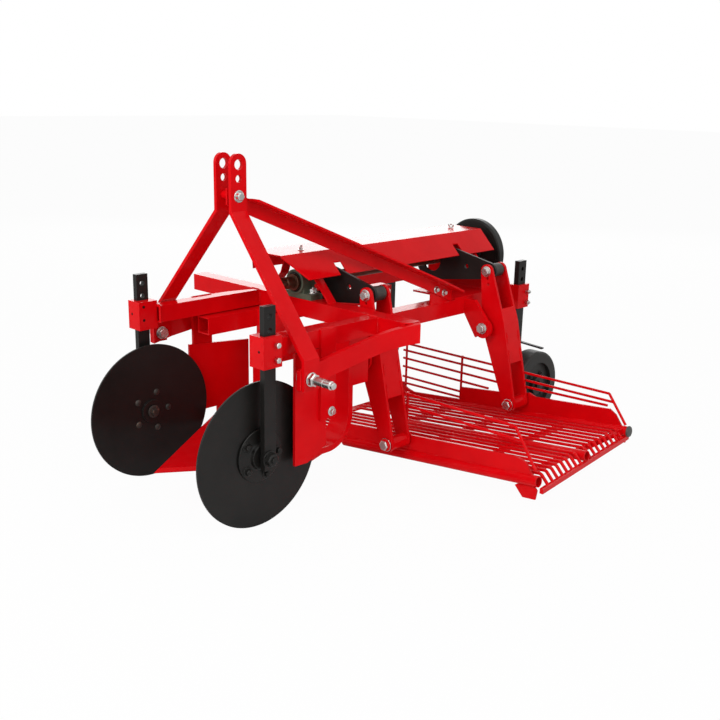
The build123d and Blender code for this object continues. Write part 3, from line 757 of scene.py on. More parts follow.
@dataclass
class Studio:
    """Camera, lamps, floor and world, in metres and watts."""

    eye: tuple[float, float, float] = (1.53630, 1.96312, 0.67517)
    yaw: float = 223.85
    pitch: float = -15.54
    roll: float = 1.22
    lens: float = 48.36
    sensor: float = 36.0
    floor_size: float = 60.0
    floor_shade: Colour = (0.90, 0.90, 0.90)
    floor_glow: float = 0.96
    world_level: float = 0.36
    lamps: tuple[tuple, ...] = (
        ("front_softbox", (3.2, 0.2, 2.1), (2.6, 2.0), 78.0),
        ("left_softbox", (0.2, 3.4, 1.8), (2.4, 2.0), 42.0),
        ("back_wall", (-3.6, -3.4, 1.35), (5.0, 2.0), 68.0),
    )

    def camera(self) -> None:
        """Set up the camera."""
        yaw, pitch, roll = (math.radians(angle) for angle in (self.yaw, self.pitch, self.roll))
        ahead = Vector((math.cos(yaw) * math.cos(pitch), math.sin(yaw) * math.cos(pitch), math.sin(pitch)))
        level = Vector((math.sin(yaw), -math.cos(yaw), 0.0))
        rise = level.cross(ahead)
        right = level * math.cos(roll) + rise * math.sin(roll)
        above = rise * math.cos(roll) - level * math.sin(roll)
        data = bpy.data.cameras.new("camera")
        data.lens, data.sensor_width = self.lens, self.sensor
        data.clip_start, data.clip_end = 0.05, 200.0
        camera = bpy.data.objects.new("camera", data)
        turn = Matrix((right, above, -ahead)).transposed()
        camera.matrix_world = Matrix.Translation(self.eye) @ turn.to_4x4()
        bpy.context.scene.collection.objects.link(camera)
        bpy.context.scene.camera = camera

    def world(self) -> None:
        """Light the scene evenly, and show plain white behind it and in gloss."""
        world = bpy.data.worlds.new("studio")
        bpy.context.scene.world = world
        world.use_nodes = True
        nodes, wiring = world.node_tree.nodes, Wiring(world.node_tree)
        soft = nodes["Background"]
        wiring.feed(soft.inputs["Color"], WHITE)
        wiring.feed(soft.inputs["Strength"], self.world_level)
        white = wiring.node("Background", {"Color": WHITE, "Strength": 1.0})
        rays = wiring.node("LightPath", {}).outputs
        seen = wiring.sum("MAXIMUM", rays["Is Camera Ray"], rays["Is Glossy Ray"])
        clear = wiring.sum("MAXIMUM", seen, rays["Is Transmission Ray"])
        mix = wiring.node("MixShader", {0: clear, 1: soft.outputs[0], 2: white.outputs[0]})
        wiring.feed(nodes["World Output"].inputs["Surface"], mix.outputs[0])

    def floor(self, height: float) -> None:
        """Lay the pale floor.

        Args:
            height: level of the floor.
        """
        mesh = bmesh.new()
        level = Matrix.Translation((0, 0, height))
        bmesh.ops.create_grid(mesh, x_segments=2, y_segments=2, size=self.floor_size / 2, matrix=level)
        data = bpy.data.meshes.new("floor")
        mesh.to_mesh(data)
        mesh.free()
        floor = bpy.data.objects.new("floor", data)
        bpy.context.scene.collection.objects.link(floor)
        material = bpy.data.materials.new("pale_floor")
        material.use_nodes = True
        nodes, wiring = material.node_tree.nodes, Wiring(material.node_tree)
        matt = nodes["Principled BSDF"]
        flat = {"Base Color": self.floor_shade, "Roughness": 0.9, "Specular IOR Level": 0.0}
        for label, value in flat.items():
            wiring.feed(matt.inputs[label], value)
        glow = wiring.node("Emission", {"Strength": 1.0})
        share = wiring.sum("MULTIPLY", wiring.node("LightPath", {}).outputs["Is Camera Ray"], self.floor_glow)
        mix = wiring.node("MixShader", {0: share, 1: matt.outputs[0], 2: glow.outputs[0]})
        wiring.feed(nodes["Material Output"].inputs["Surface"], mix.outputs[0])
        data.materials.append(material)

    def build(self) -> None:
        """Set up the whole studio, with softboxes that face the middle of the machine."""
        low, high = CAD_BOX
        middle = (low + high) / 2
        self.camera()
        self.world()
        self.floor(low.z)
        for name, offset, size, power in self.lamps:
            data = bpy.data.lights.new(name, "AREA")
            data.shape = "RECTANGLE"
            data.size, data.size_y = size
            data.energy = power
            lamp = bpy.data.objects.new(name, data)
            place = middle + Vector(offset)
            turn = (middle - place).to_track_quat("-Z", "Y")
            lamp.matrix_world = Matrix.Translation(place) @ turn.to_matrix().to_4x4()
            lamp.visible_camera = False
            bpy.context.scene.collection.objects.link(lamp)
        bpy.context.scene.view_settings.view_transform = "Standard"
        log.info("studio set up")


# ------------------------------------------------------------------ sub-assemblies


@dataclass
class Assembly:
    """The fittings of one sub-assembly."""

    finishes: Finishes

    def build(self) -> None:
        """Build every fitting."""
        raise NotImplementedError


@dataclass
class SideAssembly(Assembly):
    """The fittings of a sub-assembly that stands on both sides, for one side."""

    side: Side

    @property
    def out(self) -> Vector:
        """Return the way out from the middle of the machine."""
        return LEFT * self.side.value

    def named(self, word: str) -> str:
        """Return this side's name of a node, a body or a piece."""
        return f"{word}_{self.side.name.lower()}"

    def place(self, word: str) -> Place:
        """Return the box of this side's node."""
        return Place.of(self.named(word))


@dataclass
class MastFittings(Assembly):
    """Bolt through the mast head, the brace's bolts and the welds of the hitch arms."""

    bolt_across: float = 19.0
    plate_thickness: float = 8.0
    washer: Pairs = ((-0.5, 6), (-0.5, 16), (1.2, 16), (2.6, 14.6), (2.6, 6))
    brace_bolt_across: float = 13.0
    brace_bolt_places: Pairs = ((-715.0, 96.0), (-754.0, 82.0))
    # Y, start X and Z, end X and Z, radius
    arm_welds: tuple[tuple[float, ...], ...] = (
        (314.0, 24.0, 24.0, -28.0, 34.0, 2.6),
        (314.0, 24.2, 20.0, 24.2, -26.0, 2.2),
        (313.0, -28.4, 6.0, -28.4, -14.0, 2.2),
    )

    def build(self) -> None:
        """Add the mast's fasteners and welds."""
        spacer = Place.of("mast_spacer")
        head = Form()
        for side in Side:
            out = LEFT * side.value
            face = spacer.at(y=side.outer(spacer) - side.value * self.plate_thickness)
            head.turned(face, out, self.washer, 36)
            head.hexagon(face + out * 2.4, out, self.bolt_across, 8.6, turn=0.35)
        head.drum(spacer.at(y=spacer.low.y - 5), spacer.at(y=spacer.low.y + 2), 5.9, sides=24)
        self.finishes.piece(head, "mast_bolt", "frame", BRIGHT_ZINC)

        brace, upright = Form(), Place.of("brace_upright")
        for x, z in self.brace_bolt_places:
            brace.bolt(Vector((x, upright.high.y + 6.0, z)), LEFT, self.brace_bolt_across, turn=0.5)
            brace.bolt(Vector((x, upright.low.y, z)), -LEFT, self.brace_bolt_across, stud=4.0)
        self.finishes.piece(brace, "brace_bolts", "frame", BRIGHT_ZINC)

        weld = Form()
        for side in Side:
            for y, x, z, end_x, end_z, radius in self.arm_welds:
                weld.bead(Vector((x, side.value * y, z)), Vector((end_x, side.value * y, end_z)), radius)
        self.finishes.piece(weld, "mast_welds", "frame", RED_ENAMEL)


@dataclass
class HitchPin(SideAssembly):
    """One lower hitch pin with its nut, washers and linchpin hole."""

    radius: float = 11.0
    washer_radius: float = 17.8
    nut_across: float = 29.0
    nut_seat: float = 324.0
    nut_height: float = 12.6
    head_seat: float = 300.0
    head_height: float = 10.0
    hole_along: float = 387.0
    hole_radius: float = 4.0
    hole_lift: float = 0.12

    def build(self) -> None:
        """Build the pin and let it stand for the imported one."""
        place = self.place("hitch_pin")
        axis = place.at(y=0.0)
        tip, inner = abs(self.side.outer(place)), abs(self.side.inner(place))
        radius, washer = self.radius, self.washer_radius
        pin = Form()
        pin.turned(
            axis, self.out,
            (
                (inner + 2, 0), (inner + 2, radius), (340.8, radius), (341.2, radius - 0.6),
                (342.8, radius - 0.6), (343.2, radius), (371.5, radius), (372.0, radius - 0.5),
                (373.2, radius - 0.5), (373.7, radius), (395.0, radius), (396.4, 9.6), (397.2, 8.5),
                (tip - 1.5, 8.5), (tip, 7.0), (tip, 0),
            ),
            48,
        )
        rim = ((0, 10), (0, washer - 0.8), (0.8, washer), (3.2, washer), (4.0, washer - 0.8), (4.0, 10))
        for seat, way, height in (
            (self.nut_seat, self.out, self.nut_height), (self.head_seat, -self.out, self.head_height)
        ):
            start = axis + self.out * seat
            pin.turned(start, way, rim, 44)
            pin.hexagon(start + way * 4.0, way, self.nut_across, height, turn=0.1)
        piece = self.finishes.piece(pin, self.named("hitch_pin_turned"), "frame", BRIGHT_ZINC)
        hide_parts(self.named("hitch_pin"))
        self._hole(axis + self.out * self.hole_along)

    def _hole(self, centre: Vector) -> None:
        """Lay the dark mouths of the linchpin hole on the round of the pin.

        Args:
            centre: point of the pin's axis under the hole.
        """
        mouths = Form()
        around = self.radius + self.hole_lift
        for rise in (1, -1):
            mouth = bmesh.ops.create_circle(
                mouths.mesh, cap_ends=True, cap_tris=True, segments=24, radius=self.hole_radius,
                matrix=Matrix.Translation(centre),
            )
            for vert in mouth["verts"]:
                vert.co.z = centre.z + rise * math.sqrt(around**2 - (vert.co.x - centre.x) ** 2)
        self.finishes.piece(mouths, self.named("linchpin_hole"), "frame", HOLE_SHADE)


@dataclass
class DiscFittings(SideAssembly):
    """Hub flange, bolts and axle nuts of one coulter disc."""

    flange_radius: float = 69.0
    flange_height: float = 6.0
    bolt_circle: float = 54.0
    bolt_count: int = 5
    bolt_start: float = 36.0
    bolt_across: float = 15.0
    disc_face: float = 233.9
    disc_thickness: float = 5.0
    axle_outer: float = 273.0
    axle_inner: float = 219.0

    def build(self) -> None:
        """Add the turning flange with its bolts, and the ends of the fixed axle."""
        hub, sign = self.place("disc"), self.side.value
        self._flange(hub.at(y=sign * self.disc_face), hub.at(y=sign * (self.disc_face - self.disc_thickness)))
        self._axle(hub.at(y=sign * self.axle_outer), hub.at(y=sign * self.axle_inner))

    def _flange(self, face: Vector, back: Vector) -> None:
        """Add the turning flange and its bolts.

        Args:
            face: middle of the disc's outer face.
            back: middle of the disc's inner face.
        """
        radius, height = self.flange_radius, self.flange_height
        form, heads = Form(), Form()
        form.turned(
            face, self.out,
            (
                (-0.2, 30), (-0.2, radius - 1.5), (1.4, radius), (height - 1.4, radius),
                (height, radius - 1.6), (height + 0.2, 40), (height + 2.4, 35.4), (16.6, 33.2),
                (17.4, 32.0), (17.4, 14.5), (10, 14.5), (10, 30), (-0.2, 30),
            ),
            64,
        )
        dome = ((0, 9.4), (1.4, 9.0), (3.4, 7.2), (4.8, 4.0), (5.3, 0))
        for angle, spoke in spokes(self.bolt_count, self.bolt_start):
            seat = face + spoke * self.bolt_circle + self.out * height
            form.bolt(seat, self.out, self.bolt_across, stud=2.0, turn=angle)
            heads.turned(back + spoke * self.bolt_circle, -self.out, dome, 24)
        self.finishes.piece(form, self.named("disc_flange"), self.named("disc"), BLACK_ENAMEL)
        self.finishes.piece(heads, self.named("disc_bolt_heads"), self.named("disc"), RUSTY_ENAMEL)

    def _axle(self, outer: Vector, end: Vector) -> None:
        """Add the nut and washer at both ends of the fixed axle.

        Args:
            outer: outer end of the hub on the axle.
            end: inner end of the axle.
        """
        out = self.out
        nut, inner = Form(), Form()
        nut.turned(outer, out, ((0, 8), (0, 20.5), (1.0, 21.5), (2.6, 21.5), (3.4, 20.5), (3.4, 8)), 40)
        nut.hexagon(outer + out * 3.2, out, 30.0, 14.0, turn=0.45)
        nut.drum(outer + out * 17.0, outer + out * 22.5, 8.6, sides=28, soften=1.2)
        self.finishes.piece(nut, self.named("disc_axle_nut"), "frame", BLACK_ENAMEL)
        inner.turned(end, -out, ((-2.8, 17.6), (0.2, 17.8), (1.6, 16.0), (2.4, 9.5), (2.4, 0)), 36)
        inner.hexagon(end - out * 2.2, -out, 17.0, 6.4, turn=0.6)
        self.finishes.piece(inner, self.named("disc_axle_end"), "frame", RUSTY_ENAMEL)


@dataclass
class ClampFittings(SideAssembly):
    """Bolts, drilled holes and weld seams of the post clamps on one side."""

    bolt_across: float = 13.0
    bolt_x: float = 77.0
    bolt_heights: Span = (91.6, 54.7)
    wheel_bolt_heights: Span = (38.0, 2.0)
    wheel_seam_heights: Span = (2.0, 46.0)

    def build(self) -> None:
        """Add the fittings of both clamps."""
        self._disc_clamp()
        self._wheel_clamp()

    @staticmethod
    def _mouth(form: Form, face: Vector, out: Vector, radius: float) -> None:
        """Add the dark mouth of a drilled hole: a shallow dish on its face."""
        form.turned(face, out, ((-0.3, radius), (0.25, radius), (0.25, radius * 0.8), (0.1, 0)), 24)

    def _screw(self, form: Form, seat: Vector, radius: float, turn: float) -> None:
        """Add a clamp screw's shank and its lock nut."""
        form.drum(seat - self.out, seat + self.out * 7.0, radius, sides=20)
        form.hexagon(seat + self.out * 5.0, self.out, self.bolt_across, 8.5, turn=turn)

    def _disc_clamp(self) -> None:
        """Add the disc clamp's hole mouths and seams, and the left one's screws."""
        clamp, bar = self.place("disc_clamp"), self.place("disc_bar")
        outer, inner = self.side.outer(clamp), self.side.inner(clamp)
        holes, seams, screws = Form(), Form(), Form()
        self._mouth(holes, Vector((clamp.high.x, self.side.value * 267.0, clamp.centre.z + 3)), FORWARD, 3.4)
        for height in self.bolt_heights:
            seat = Vector((self.bolt_x, outer, height))
            if self.side is Side.LEFT:
                self._screw(screws, seat, 4.6, height)
            else:
                self._mouth(holes, Vector((100.5, inner, height + 8)), LEFT, 3.8)
                self._mouth(holes, seat, self.out, 4.0)
        for y in (clamp.low.y + 7, clamp.high.y - 7):
            for z in (clamp.high.z - 20, clamp.low.z + 12):
                spot = Vector((clamp.high.x, y, z))
                seams.block(spot - Vector((0.4, 1.4, 0)), spot + Vector((0.5, 1.4, 12)), soften=0.4)
        x = clamp.low.x - 2
        for y in (bar.low.y - 1, bar.high.y + 1):
            seams.seam(x, y, (bar.low.z, bar.high.z), 3.2)
        seams.seam(x, (bar.low.y, bar.high.y), bar.high.z + 1, 3.2)
        self.finishes.piece(holes, self.named("disc_clamp_holes"), "frame", HOLE_SHADE)
        self.finishes.piece(seams, self.named("disc_clamp_seams"), "frame", RED_ENAMEL)
        if self.side is Side.LEFT:
            self.finishes.piece(screws, self.named("disc_clamp_bolts"), "frame", BRIGHT_ZINC)

    def _wheel_clamp(self) -> None:
        """Add the wheel clamp's screws and seams."""
        clamp, out = self.place("wheel_clamp"), self.out
        screws, seams = Form(), Form()
        for height in self.wheel_bolt_heights:
            seat = Vector((clamp.low.x + 15, self.side.outer(clamp), height))
            self._screw(screws, seat, 4.8, height)
            screws.drum(seat + out * 13.0, seat + out * 17.0, 4.0, sides=20, soften=0.5)
        for x in (clamp.low.x, clamp.high.x):
            seams.seam(x, self.side.inner(clamp), self.wheel_seam_heights, 3.0)
        self.finishes.piece(screws, self.named("wheel_clamp_bolts"), "frame", BRIGHT_ZINC)
        self.finishes.piece(seams, self.named("wheel_clamp_seams"), "frame", RED_ENAMEL)


@dataclass
class WheelFittings(SideAssembly):
    """Rim seams, hub bolts, axle nut and mud scraper of one gauge wheel."""

    seam_insets: Span = (15.0, 47.0)
    hub_inset: float = 14.0
    bolt_circle: float = 46.0

    def build(self) -> None:
        """Add the wheel's fittings."""
        wheel, out, sign = self.place("wheel"), self.out, self.side.value
        outer = self.side.outer(wheel)
        radius = (wheel.high.z - wheel.low.z) / 2
        bulge = ((-1.2, radius - 0.6), (-0.4, radius - 0.1), (0.4, radius - 0.1), (1.2, radius - 0.6))
        seams = Form()
        for inset in self.seam_insets:
            seams.turned(wheel.at(y=outer - sign * inset), out, bulge, 72)
        for angle, spoke in spokes(4, 45.0):
            seat = wheel.at(y=outer - sign * self.hub_inset) + spoke * self.bolt_circle
            seams.bolt(seat, out, 12.0, stud=2.0, turn=angle)
        self.finishes.piece(seams, self.named("wheel_rim_seams"), self.named("wheel"), WHEEL_ENAMEL)

        nut, scraper = Form(), Form()
        seat = wheel.at(y=self.side.outer(self.place("wheel_post")) - sign * 8)
        nut.hexagon(seat, out, 30.5, 8.2, turn=0.2)
        self.finishes.piece(nut, self.named("wheel_axle_nut"), "frame", BLACK_ENAMEL)
        root = Vector((wheel.centre.x - 12, outer - sign * 86, wheel.high.z + 18))
        ahead, reach = FORWARD * 14, Vector((-11, sign * 84, -9))
        scraper.plate([root, root + ahead, root + ahead + reach, root + reach], UP * 5, soften=0.8)
        self.finishes.piece(scraper, self.named("wheel_scraper"), "frame", BLACK_ENAMEL)


@dataclass
class BearingFittings(Assembly):
    """Cast detail on the two shaft bearings."""

    hold_down_spacing: float = 46.0
    flange_bolt_spacing: float = 33.0
    seal: Pairs = ((-0.6, 24.6), (-0.6, 29.2), (0.4, 29.2), (0.9, 26.0), (0.9, 24.6))
    rim: Pairs = ((-1, 28.5), (-1, 36.2), (1.8, 36.2), (3.0, 34.6), (3.0, 30.4), (1.0, 28.5))

    def build(self) -> None:
        """Add the rim with its ribs, the seal, the bolts and the grease nipple."""
        front, rear = Place.of("bearing_front"), Place.of("bearing_rear")
        face = shaft_point(front.high.x)
        rim, seal, bolts, nipple = Form(), Form(), Form(), Form()
        rim.turned(face, FORWARD, self.rim, 56)
        boss = Vector((front.centre.x, face.y - 31, face.z + 14))
        lean = Vector((0, -0.92, 0.39)).normalized()
        rim.drum(boss, boss + lean * 8, 5.2, sides=12)
        for side in (1, -1):
            low = Vector((front.low.x + 4, face.y + side * 31, front.low.z + 15))
            rib = [low, low + LEFT * side * 33, low + LEFT * side * 2 + UP * 21]
            rim.plate(rib, FORWARD * 7, soften=0.8)
            seat = Vector((front.centre.x - 6, face.y + side * self.hold_down_spacing, front.low.z + 16))
            bolts.bolt(seat, UP, 19.0, stud=3.0, turn=0.3 * side)
        self.finishes.piece(rim, "front_bearing_rim", "frame", CAST_GREEN)
        seal.turned(face, FORWARD, self.seal, 48)
        self.finishes.piece(seal, "front_bearing_seal", "frame", BLACK_ENAMEL)
        for y in (face.y - self.flange_bolt_spacing, face.y + self.flange_bolt_spacing):
            for z in (face.z - self.flange_bolt_spacing, face.z + self.flange_bolt_spacing):
                bolts.bolt(Vector((rear.high.x - 12.0, y, z)), -FORWARD, 15.0, turn=y)
        self.finishes.piece(bolts, "bearing_bolts", "frame", BRIGHT_ZINC)
        base = boss + lean * 7.6
        nipple.hexagon(base, lean, 8.0, 4.0)
        nipple.drum(base + lean * 4, base + lean * 9, 2.6, end_radius=2.0, sides=16)
        self.finishes.piece(nipple, "grease_nipple", "frame", CAST_GREEN)


@dataclass
class ShaftDetail(Assembly):
    """The splined drive shaft with its two eccentrics, which stands for the plain one."""

    splines: int = 6
    root_radius: float = 14.6
    tip_radius: float = 17.4
    spline_length: float = 54.0
    throw: float = 7.0
    lobe_places: Span = (-371.0, -905.0)
    lobe: Pairs = ((0, 0), (0, 21.5), (1, 22.5), (19, 22.5), (20, 21.5), (20, 0))

    def build(self) -> None:
        """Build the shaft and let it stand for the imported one."""
        shaft = Place.of("crankshaft")
        start = shaft_point(shaft.high.x)
        whole = start.x - shaft.low.x
        root, tip, length = self.root_radius, self.tip_radius, self.spline_length
        form = Form()
        form.turned(
            start, -FORWARD,
            (
                (0, 0), (0, root - 2), (2, root), (18, root), (18.5, root - 1.6), (26, root - 1.6),
                (26.5, root), (length, root), (length + 4, tip), (82, tip), (82.3, tip - 0.9),
                (85, tip - 0.9), (85, 23), (86, 24), (93, 24), (94, 23), (94, 15), (whole - 2, 15),
                (whole, 13), (whole, 0),
            ),
            48,
        )
        flank = ((-0.27, root - 1), (-0.235, tip), (0.235, tip), (0.27, root - 1))
        for index in range(self.splines):
            angle = math.tau / self.splines * index
            ridge = [
                start + (LEFT * math.cos(angle + turn) + UP * math.sin(angle + turn)) * radius
                for turn, radius in flank
            ]
            for low, high in ((2.0, 17.5), (27.0, length)):
                form.plate([corner - FORWARD * low for corner in ridge], -FORWARD * (high - low), soften=0.4)
        for x in self.lobe_places:
            form.turned(shaft_point(x) + UP * self.throw, -FORWARD, self.lobe, 48)
        piece = self.finishes.piece(form, "splined_shaft", "crank", BROWN_STEEL)
        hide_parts("crankshaft")


@dataclass
class CoverFittings(Assembly):
    """Wing nuts on the shaft cover."""

    nut_places: Pairs = ((-310.0, -52.0), (-1022.0, -83.0))
    wing: Pairs = ((0, 0), (6, -0.5), (10, 4.5), (9, 9.0), (5.5, 8.0), (0, 4.6))
    wing_thickness: float = 1.8

    def build(self) -> None:
        """Add both wing nuts."""
        cover = Place.of("shaft_cover")
        form = Form()
        for index, (x, y) in enumerate(self.nut_places):
            seat = Vector((x, y, cover.high.z))
            form.drum(seat, seat + UP * 1.6, 9.5, sides=28, soften=0.4)
            form.drum(seat + UP * 1.6, seat + UP * 8.5, 5.6, end_radius=4.4, sides=20, soften=0.5)
            form.drum(seat + UP * 8, seat + UP * 15, 3.0, sides=16, soften=0.4)
            lean = 0.5 + index
            for side in (1, -1):
                spread = (FORWARD * math.cos(lean) + LEFT * math.sin(lean)) * side
                across = UP.cross(spread) * self.wing_thickness
                root = seat + UP * 3.2 + spread * 3.5 - across / 2
                outline = [root + spread * reach + UP * rise for reach, rise in self.wing]
                form.plate(outline, across, soften=0.5)
        self.finishes.piece(form, "cover_wing_nuts", "frame", BRIGHT_ZINC)


@dataclass
class RockerFittings(Assembly):
    """Bolts of one rocker, and the tube of the rod that swings it, placed in the plane across the machine."""

    name: str
    face: float
    pivot: Span
    top: Span
    lever: Span = (96.0, -236.0)
    waist_offset: Span = (20.0, 8.0)
    waist_radius: float = 43.0
    end_radius: float = 22.0
    depth: float = 76.0
    web_inset: float = 8.5
    stitches: Pairs = ((-100.0, -64.0), (-40.0, -8.0), (18.0, 58.0))
    eye: Pairs = (
        (12.6, 10.5), (12.6, 20.4), (13.4, 21.0), (62.6, 21.0), (63.4, 20.4), (63.4, 10.5), (12.6, 10.5)
    )

    def _edge(self, x: float, rise: float) -> Vector:
        """Return a point just proud of the rocker's left edge.

        Args:
            x: place along the machine.
            rise: height above the pivot.

        Returns:
            The point.
        """
        z = self.pivot[1] + rise
        waist = (self.pivot[0] + self.waist_offset[0], self.pivot[1] + self.waist_offset[1])
        low = (self.pivot[0] + self.lever[0], self.pivot[1] + self.lever[1])
        far = self.top if z > waist[1] else low
        share = (z - waist[1]) / (far[1] - waist[1])
        lean = math.hypot(far[0] - waist[0], far[1] - waist[1]) / abs(far[1] - waist[1])
        half = self.waist_radius + (self.end_radius - self.waist_radius) * share
        return Vector((x, waist[0] + (far[0] - waist[0]) * share + half * lean + 0.2, z))

    def build(self) -> None:
        """Add the bolts, the web's welds, the rod's eye and the sieve pin's head."""
        swinging, still, pin, weld, eye = Form(), Form(), Form(), Form(), Form()
        top = Vector((self.face, *self.top))
        swinging.pivot_head(top, FORWARD, 17.0, 2.6, 24.0, 9.4, 0.25)
        swinging.pivot_head(top - FORWARD * self.depth, -FORWARD, 18.0, 2.6, 24.0, 12.0, 0.1)
        for x in (self.face - self.web_inset, self.face - self.depth + self.web_inset):
            for low, high in self.stitches:
                weld.bead(self._edge(x, low), self._edge(x, high), 1.7)
        bracket = Place.of(f"rocker_bracket_{self.name}")
        still.pivot_head(Vector((bracket.high.x, *self.pivot)), FORWARD, 18.0, 2.8, 26.0, 11.0, 0.15)
        still.hexagon(Vector((bracket.low.x, *self.pivot)), -FORWARD, 28.0, 12.0, turn=0.35)
        eye.turned(top, -FORWARD, self.eye, 48)
        low = Vector((self.face + 2, self.pivot[0] + self.lever[0], self.pivot[1] + self.lever[1]))
        pin.pivot_head(low, FORWARD, 19.4, 2.6, 27.0, 11.0, 0.5)
        for form, name, body, finish in (
            (swinging, "rocker_top_bolt", f"rocker_{self.name}", BRIGHT_ZINC),
            (weld, "rocker_web_welds", f"rocker_{self.name}", RED_ENAMEL),
            (still, "rocker_pivot_bolt", "frame", BRIGHT_ZINC),
            (eye, "conrod_eye", f"conrod_{self.name}", RUSTY_ENAMEL),
            (pin, "sieve_pin_head", "sieve", BRIGHT_ZINC),
        ):
            self.finishes.piece(form, f"{name}_{self.name}", body, finish)


@dataclass
class SieveFittings(Assembly):
    """Pipe cap, gussets and weld spots of the sieve."""

    slope: float = 0.112
    pipe_height: float = -280.0
    pipe_end: float = 700.0
    front_x: float = -449.0
    middle_x: float = -705.0
    rear_x: float = -983.0
    cap_y: float = 656.0
    cap: Pairs = ((-0.4, 9), (-0.4, 15.6), (0.6, 16.4), (3.4, 16.6), (5.0, 15.6), (6.0, 12.5), (6.2, 0))
    front_gusset: Pairs = ((629, -309), (655, -336), (694, -332), (698, -306), (690, -297), (640, -301))
    rear_gusset: Pairs = ((618, -309), (628, -322), (650, -322), (654, -300), (640, -298))
    spot_rows: tuple[float, ...] = (240.0, 460.0, 640.0)
    bead_rows: tuple[float, ...] = (60.0, 190.0, 330.0, 470.0, 600.0)
    bead_length: float = 42.0

    def _pipe(self, x: float, y: float, rise: float = 0.0) -> Vector:
        """Return the point at a rise over the pipes' centres."""
        return Vector((x, y, self.pipe_height + self.slope * (y - self.pipe_end) + rise))

    def build(self) -> None:
        """Add the sieve's trim."""
        cap, gusset, spots, beads = Form(), Form(), Form(), Form()
        run = Vector((0, 1, self.slope))
        cap.turned(self._pipe(self.rear_x, self.cap_y), run.normalized(), self.cap, 40)
        self.finishes.piece(cap, "sieve_pipe_cap", "sieve", GREY_PLASTIC)
        for x, outline in ((self.front_x, self.front_gusset), (self.rear_x, self.rear_gusset)):
            gusset.plate([Vector((x - 3, y, z)) for y, z in outline], FORWARD * 6, soften=0.8)
        self.finishes.piece(gusset, "sieve_gussets", "sieve", RED_ENAMEL)
        for start, end in ((self.front_x, self.middle_x), (self.middle_x, self.rear_x)):
            for x in (start + (end - start) / 9 * (index + 1) for index in range(8)):
                for y in self.spot_rows:
                    spots.bead(self._pipe(x - 5.4, y, 9.0), self._pipe(x + 5.4, y, 9.0), 2.6)
        self.finishes.piece(spots, "sieve_rod_welds", "sieve", RED_ENAMEL)
        for x in (self.front_x + 3, self.rear_x + 3):
            for y in self.bead_rows:
                foot = self._pipe(x, y, 13.5)
                beads.bead(foot, foot + run * self.bead_length, 2.6)
        self.finishes.piece(beads, "sieve_plate_welds", "sieve", RED_ENAMEL)


@dataclass
class ShareFittings(Assembly):
    """Bolts of the share, the shanks and the left deflector plate, and the hangers' welds."""

    bolt_rows: Span = (182.0, -158.0)
    bolt_columns: Span = (-118.0, -146.0)
    bolt_lift: float = 16.0
    plate_bolt: Span = (270.0, -122.0)
    hanger_seam: float = 47.5
    carrier_seams: Span = (52.0, 98.0)

    def build(self) -> None:
        """Add the fasteners and the welds."""
        share = Place.of("share")
        heads, weld = Form(), Form()
        for y in self.bolt_rows:
            for x in self.bolt_columns:
                heads.bolt(Vector((x, y, share.high.z + self.bolt_lift)), UP, 16.0, stud=3.0, turn=x)
                heads.turned(Vector((x, y, share.low.z)), -UP, ((0, 9.5), (0.8, 9.0), (0.8, 0)), 28)
        seat = Vector((Place.of("plate_hanger_left").centre.x - 12, *self.plate_bolt))
        heads.bolt(seat, LEFT, 15.0, turn=0.4)
        heads.bolt(seat - LEFT * 16, -LEFT, 15.0, stud=4.0)
        self.finishes.piece(heads, "share_and_plate_bolts", "frame", BRIGHT_ZINC)
        for side in Side:
            hanger = Place.of(f"shank_hanger_{side.name.lower()}")
            for x in (hanger.low.x + 4, hanger.high.x - 4):
                weld.seam(x, (hanger.low.y, hanger.high.y), self.hanger_seam, 2.0)
            carrier = Place.of(f"plate_hanger_{side.name.lower()}")
            for z in self.carrier_seams:
                weld.seam((carrier.low.x, carrier.high.x), side.inner(carrier), z, 2.6)
        self.finishes.piece(weld, "carrier_welds", "frame", RED_ENAMEL)


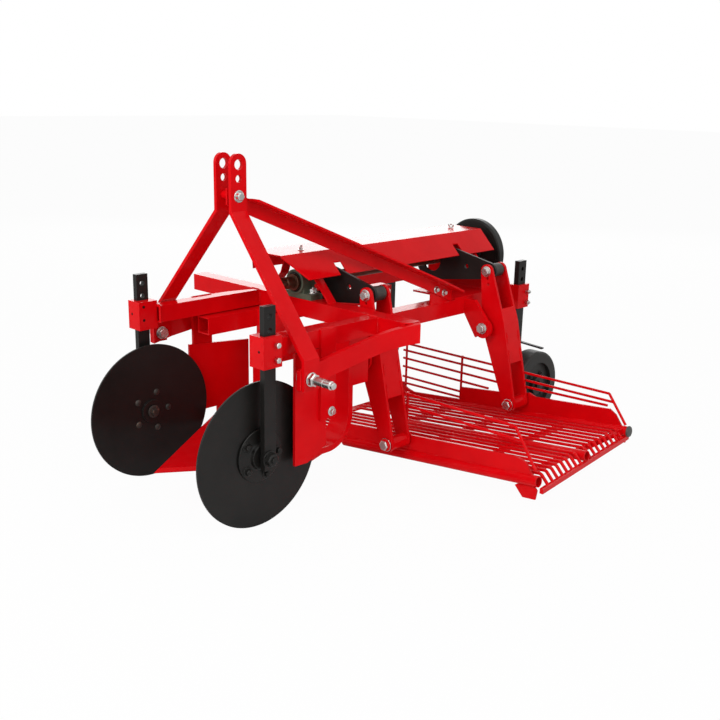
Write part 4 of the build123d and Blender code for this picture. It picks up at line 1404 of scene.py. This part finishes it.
@dataclass
class FrameWelds(Assembly):
    """Weld beads where the beams, rails, arms and brackets meet."""

    deck_seams: Pairs = ((-990.0, -950.0), (-900.0, -850.0))
    upright_seams: Pairs = ((-785.0, -760.0), (-735.0, -708.0))
    plate_x: float = -1003.0
    plate_seam: Span = (-55.0, 100.0)
    strut_seam: Span = (-340.0, -314.0)
    strut_middle: float = -69.0
    strut_spread: float = 129.0

    def build(self) -> None:
        """Lay the beads."""
        beam, deck, upright = Place.of("front_beam"), Place.of("rear_deck"), Place.of("brace_upright")
        form = Form()
        for rail in (Place.of("left_rail"), Place.of("right_rail")):
            for x in (beam.low.x, beam.high.x):
                form.seam(x, (rail.low.y + 3, rail.high.y - 3), beam.low.z, 3.0)
        for side in Side:
            bar = Place.of(f"disc_bar_{side.name.lower()}")
            for z in (bar.low.z, bar.high.z):
                form.seam(beam.high.x, (bar.low.y + 4, bar.high.y - 4), z, 2.8)
            for y in (bar.low.y, bar.high.y):
                if side is Side.LEFT or y == bar.high.y:
                    form.seam(beam.high.x, y, (bar.low.z + 3, bar.high.z - 3), 2.8)
        rail = Place.of("left_rail")
        for seams, y, z, radius in (
            (self.deck_seams, rail.low.y, deck.low.z, 2.8),
            (self.upright_seams, upright.high.y, rail.high.z, 2.6),
        ):
            for ends in seams:
                form.seam(ends, y, z, radius)
        form.seam(self.plate_x, self.plate_seam, deck.low.z + 6, 3.0)
        for side in Side:
            form.seam(self.strut_seam, self.strut_middle + side.value * self.strut_spread, beam.high.z, 2.6)
        self.finishes.piece(form, "frame_welds", "frame", RED_ENAMEL)


@dataclass
class FlywheelFittings(Assembly):
    """Raised hub and turned band of the flywheel."""

    hub: Pairs = ((-0.5, 15.3), (-0.5, 37), (4.5, 36), (6.0, 34.5), (6.0, 15.3))
    band: Pairs = ((-0.5, 101), (0.6, 101), (1.4, 102.2), (1.4, 112), (0.6, 113.2), (-0.5, 113.2))

    def build(self) -> None:
        """Add the hub and the band on both faces of the flywheel."""
        wheel = Place.of("flywheel")
        form = Form()
        for face, out in ((wheel.high.x, FORWARD), (wheel.low.x, -FORWARD)):
            form.turned(wheel.at(face), out, self.hub, 48)
            form.turned(wheel.at(face), out, self.band, 96)
        self.finishes.piece(form, "flywheel_hub", "crank", BLACK_ENAMEL)


def main() -> None:
    """Build the machine's looks in order and report each piece."""
    logging.basicConfig(level=logging.INFO, format="%(name)s: %(message)s")
    Studio().build()
    finishes = Finishes()
    finishes.dress()
    paired = (HitchPin, DiscFittings, ClampFittings, WheelFittings)
    for assembly in (
        MastFittings(finishes),
        *(kind(finishes, side) for kind in paired for side in Side),
        BearingFittings(finishes),
        ShaftDetail(finishes),
        CoverFittings(finishes),
        RockerFittings(finishes, "front", -364.0, (152.0, -46.0), (154.0, 131.0)),
        RockerFittings(finishes, "rear", -898.0, (184.0, -38.0), (167.0, 138.0)),
        SieveFittings(finishes),
        ShareFittings(finishes),
        FrameWelds(finishes),
        FlywheelFittings(finishes),
    ):
        assembly.build()
        log.info("%s done", type(assembly).__name__)


if __name__ == "__main__":
    main()
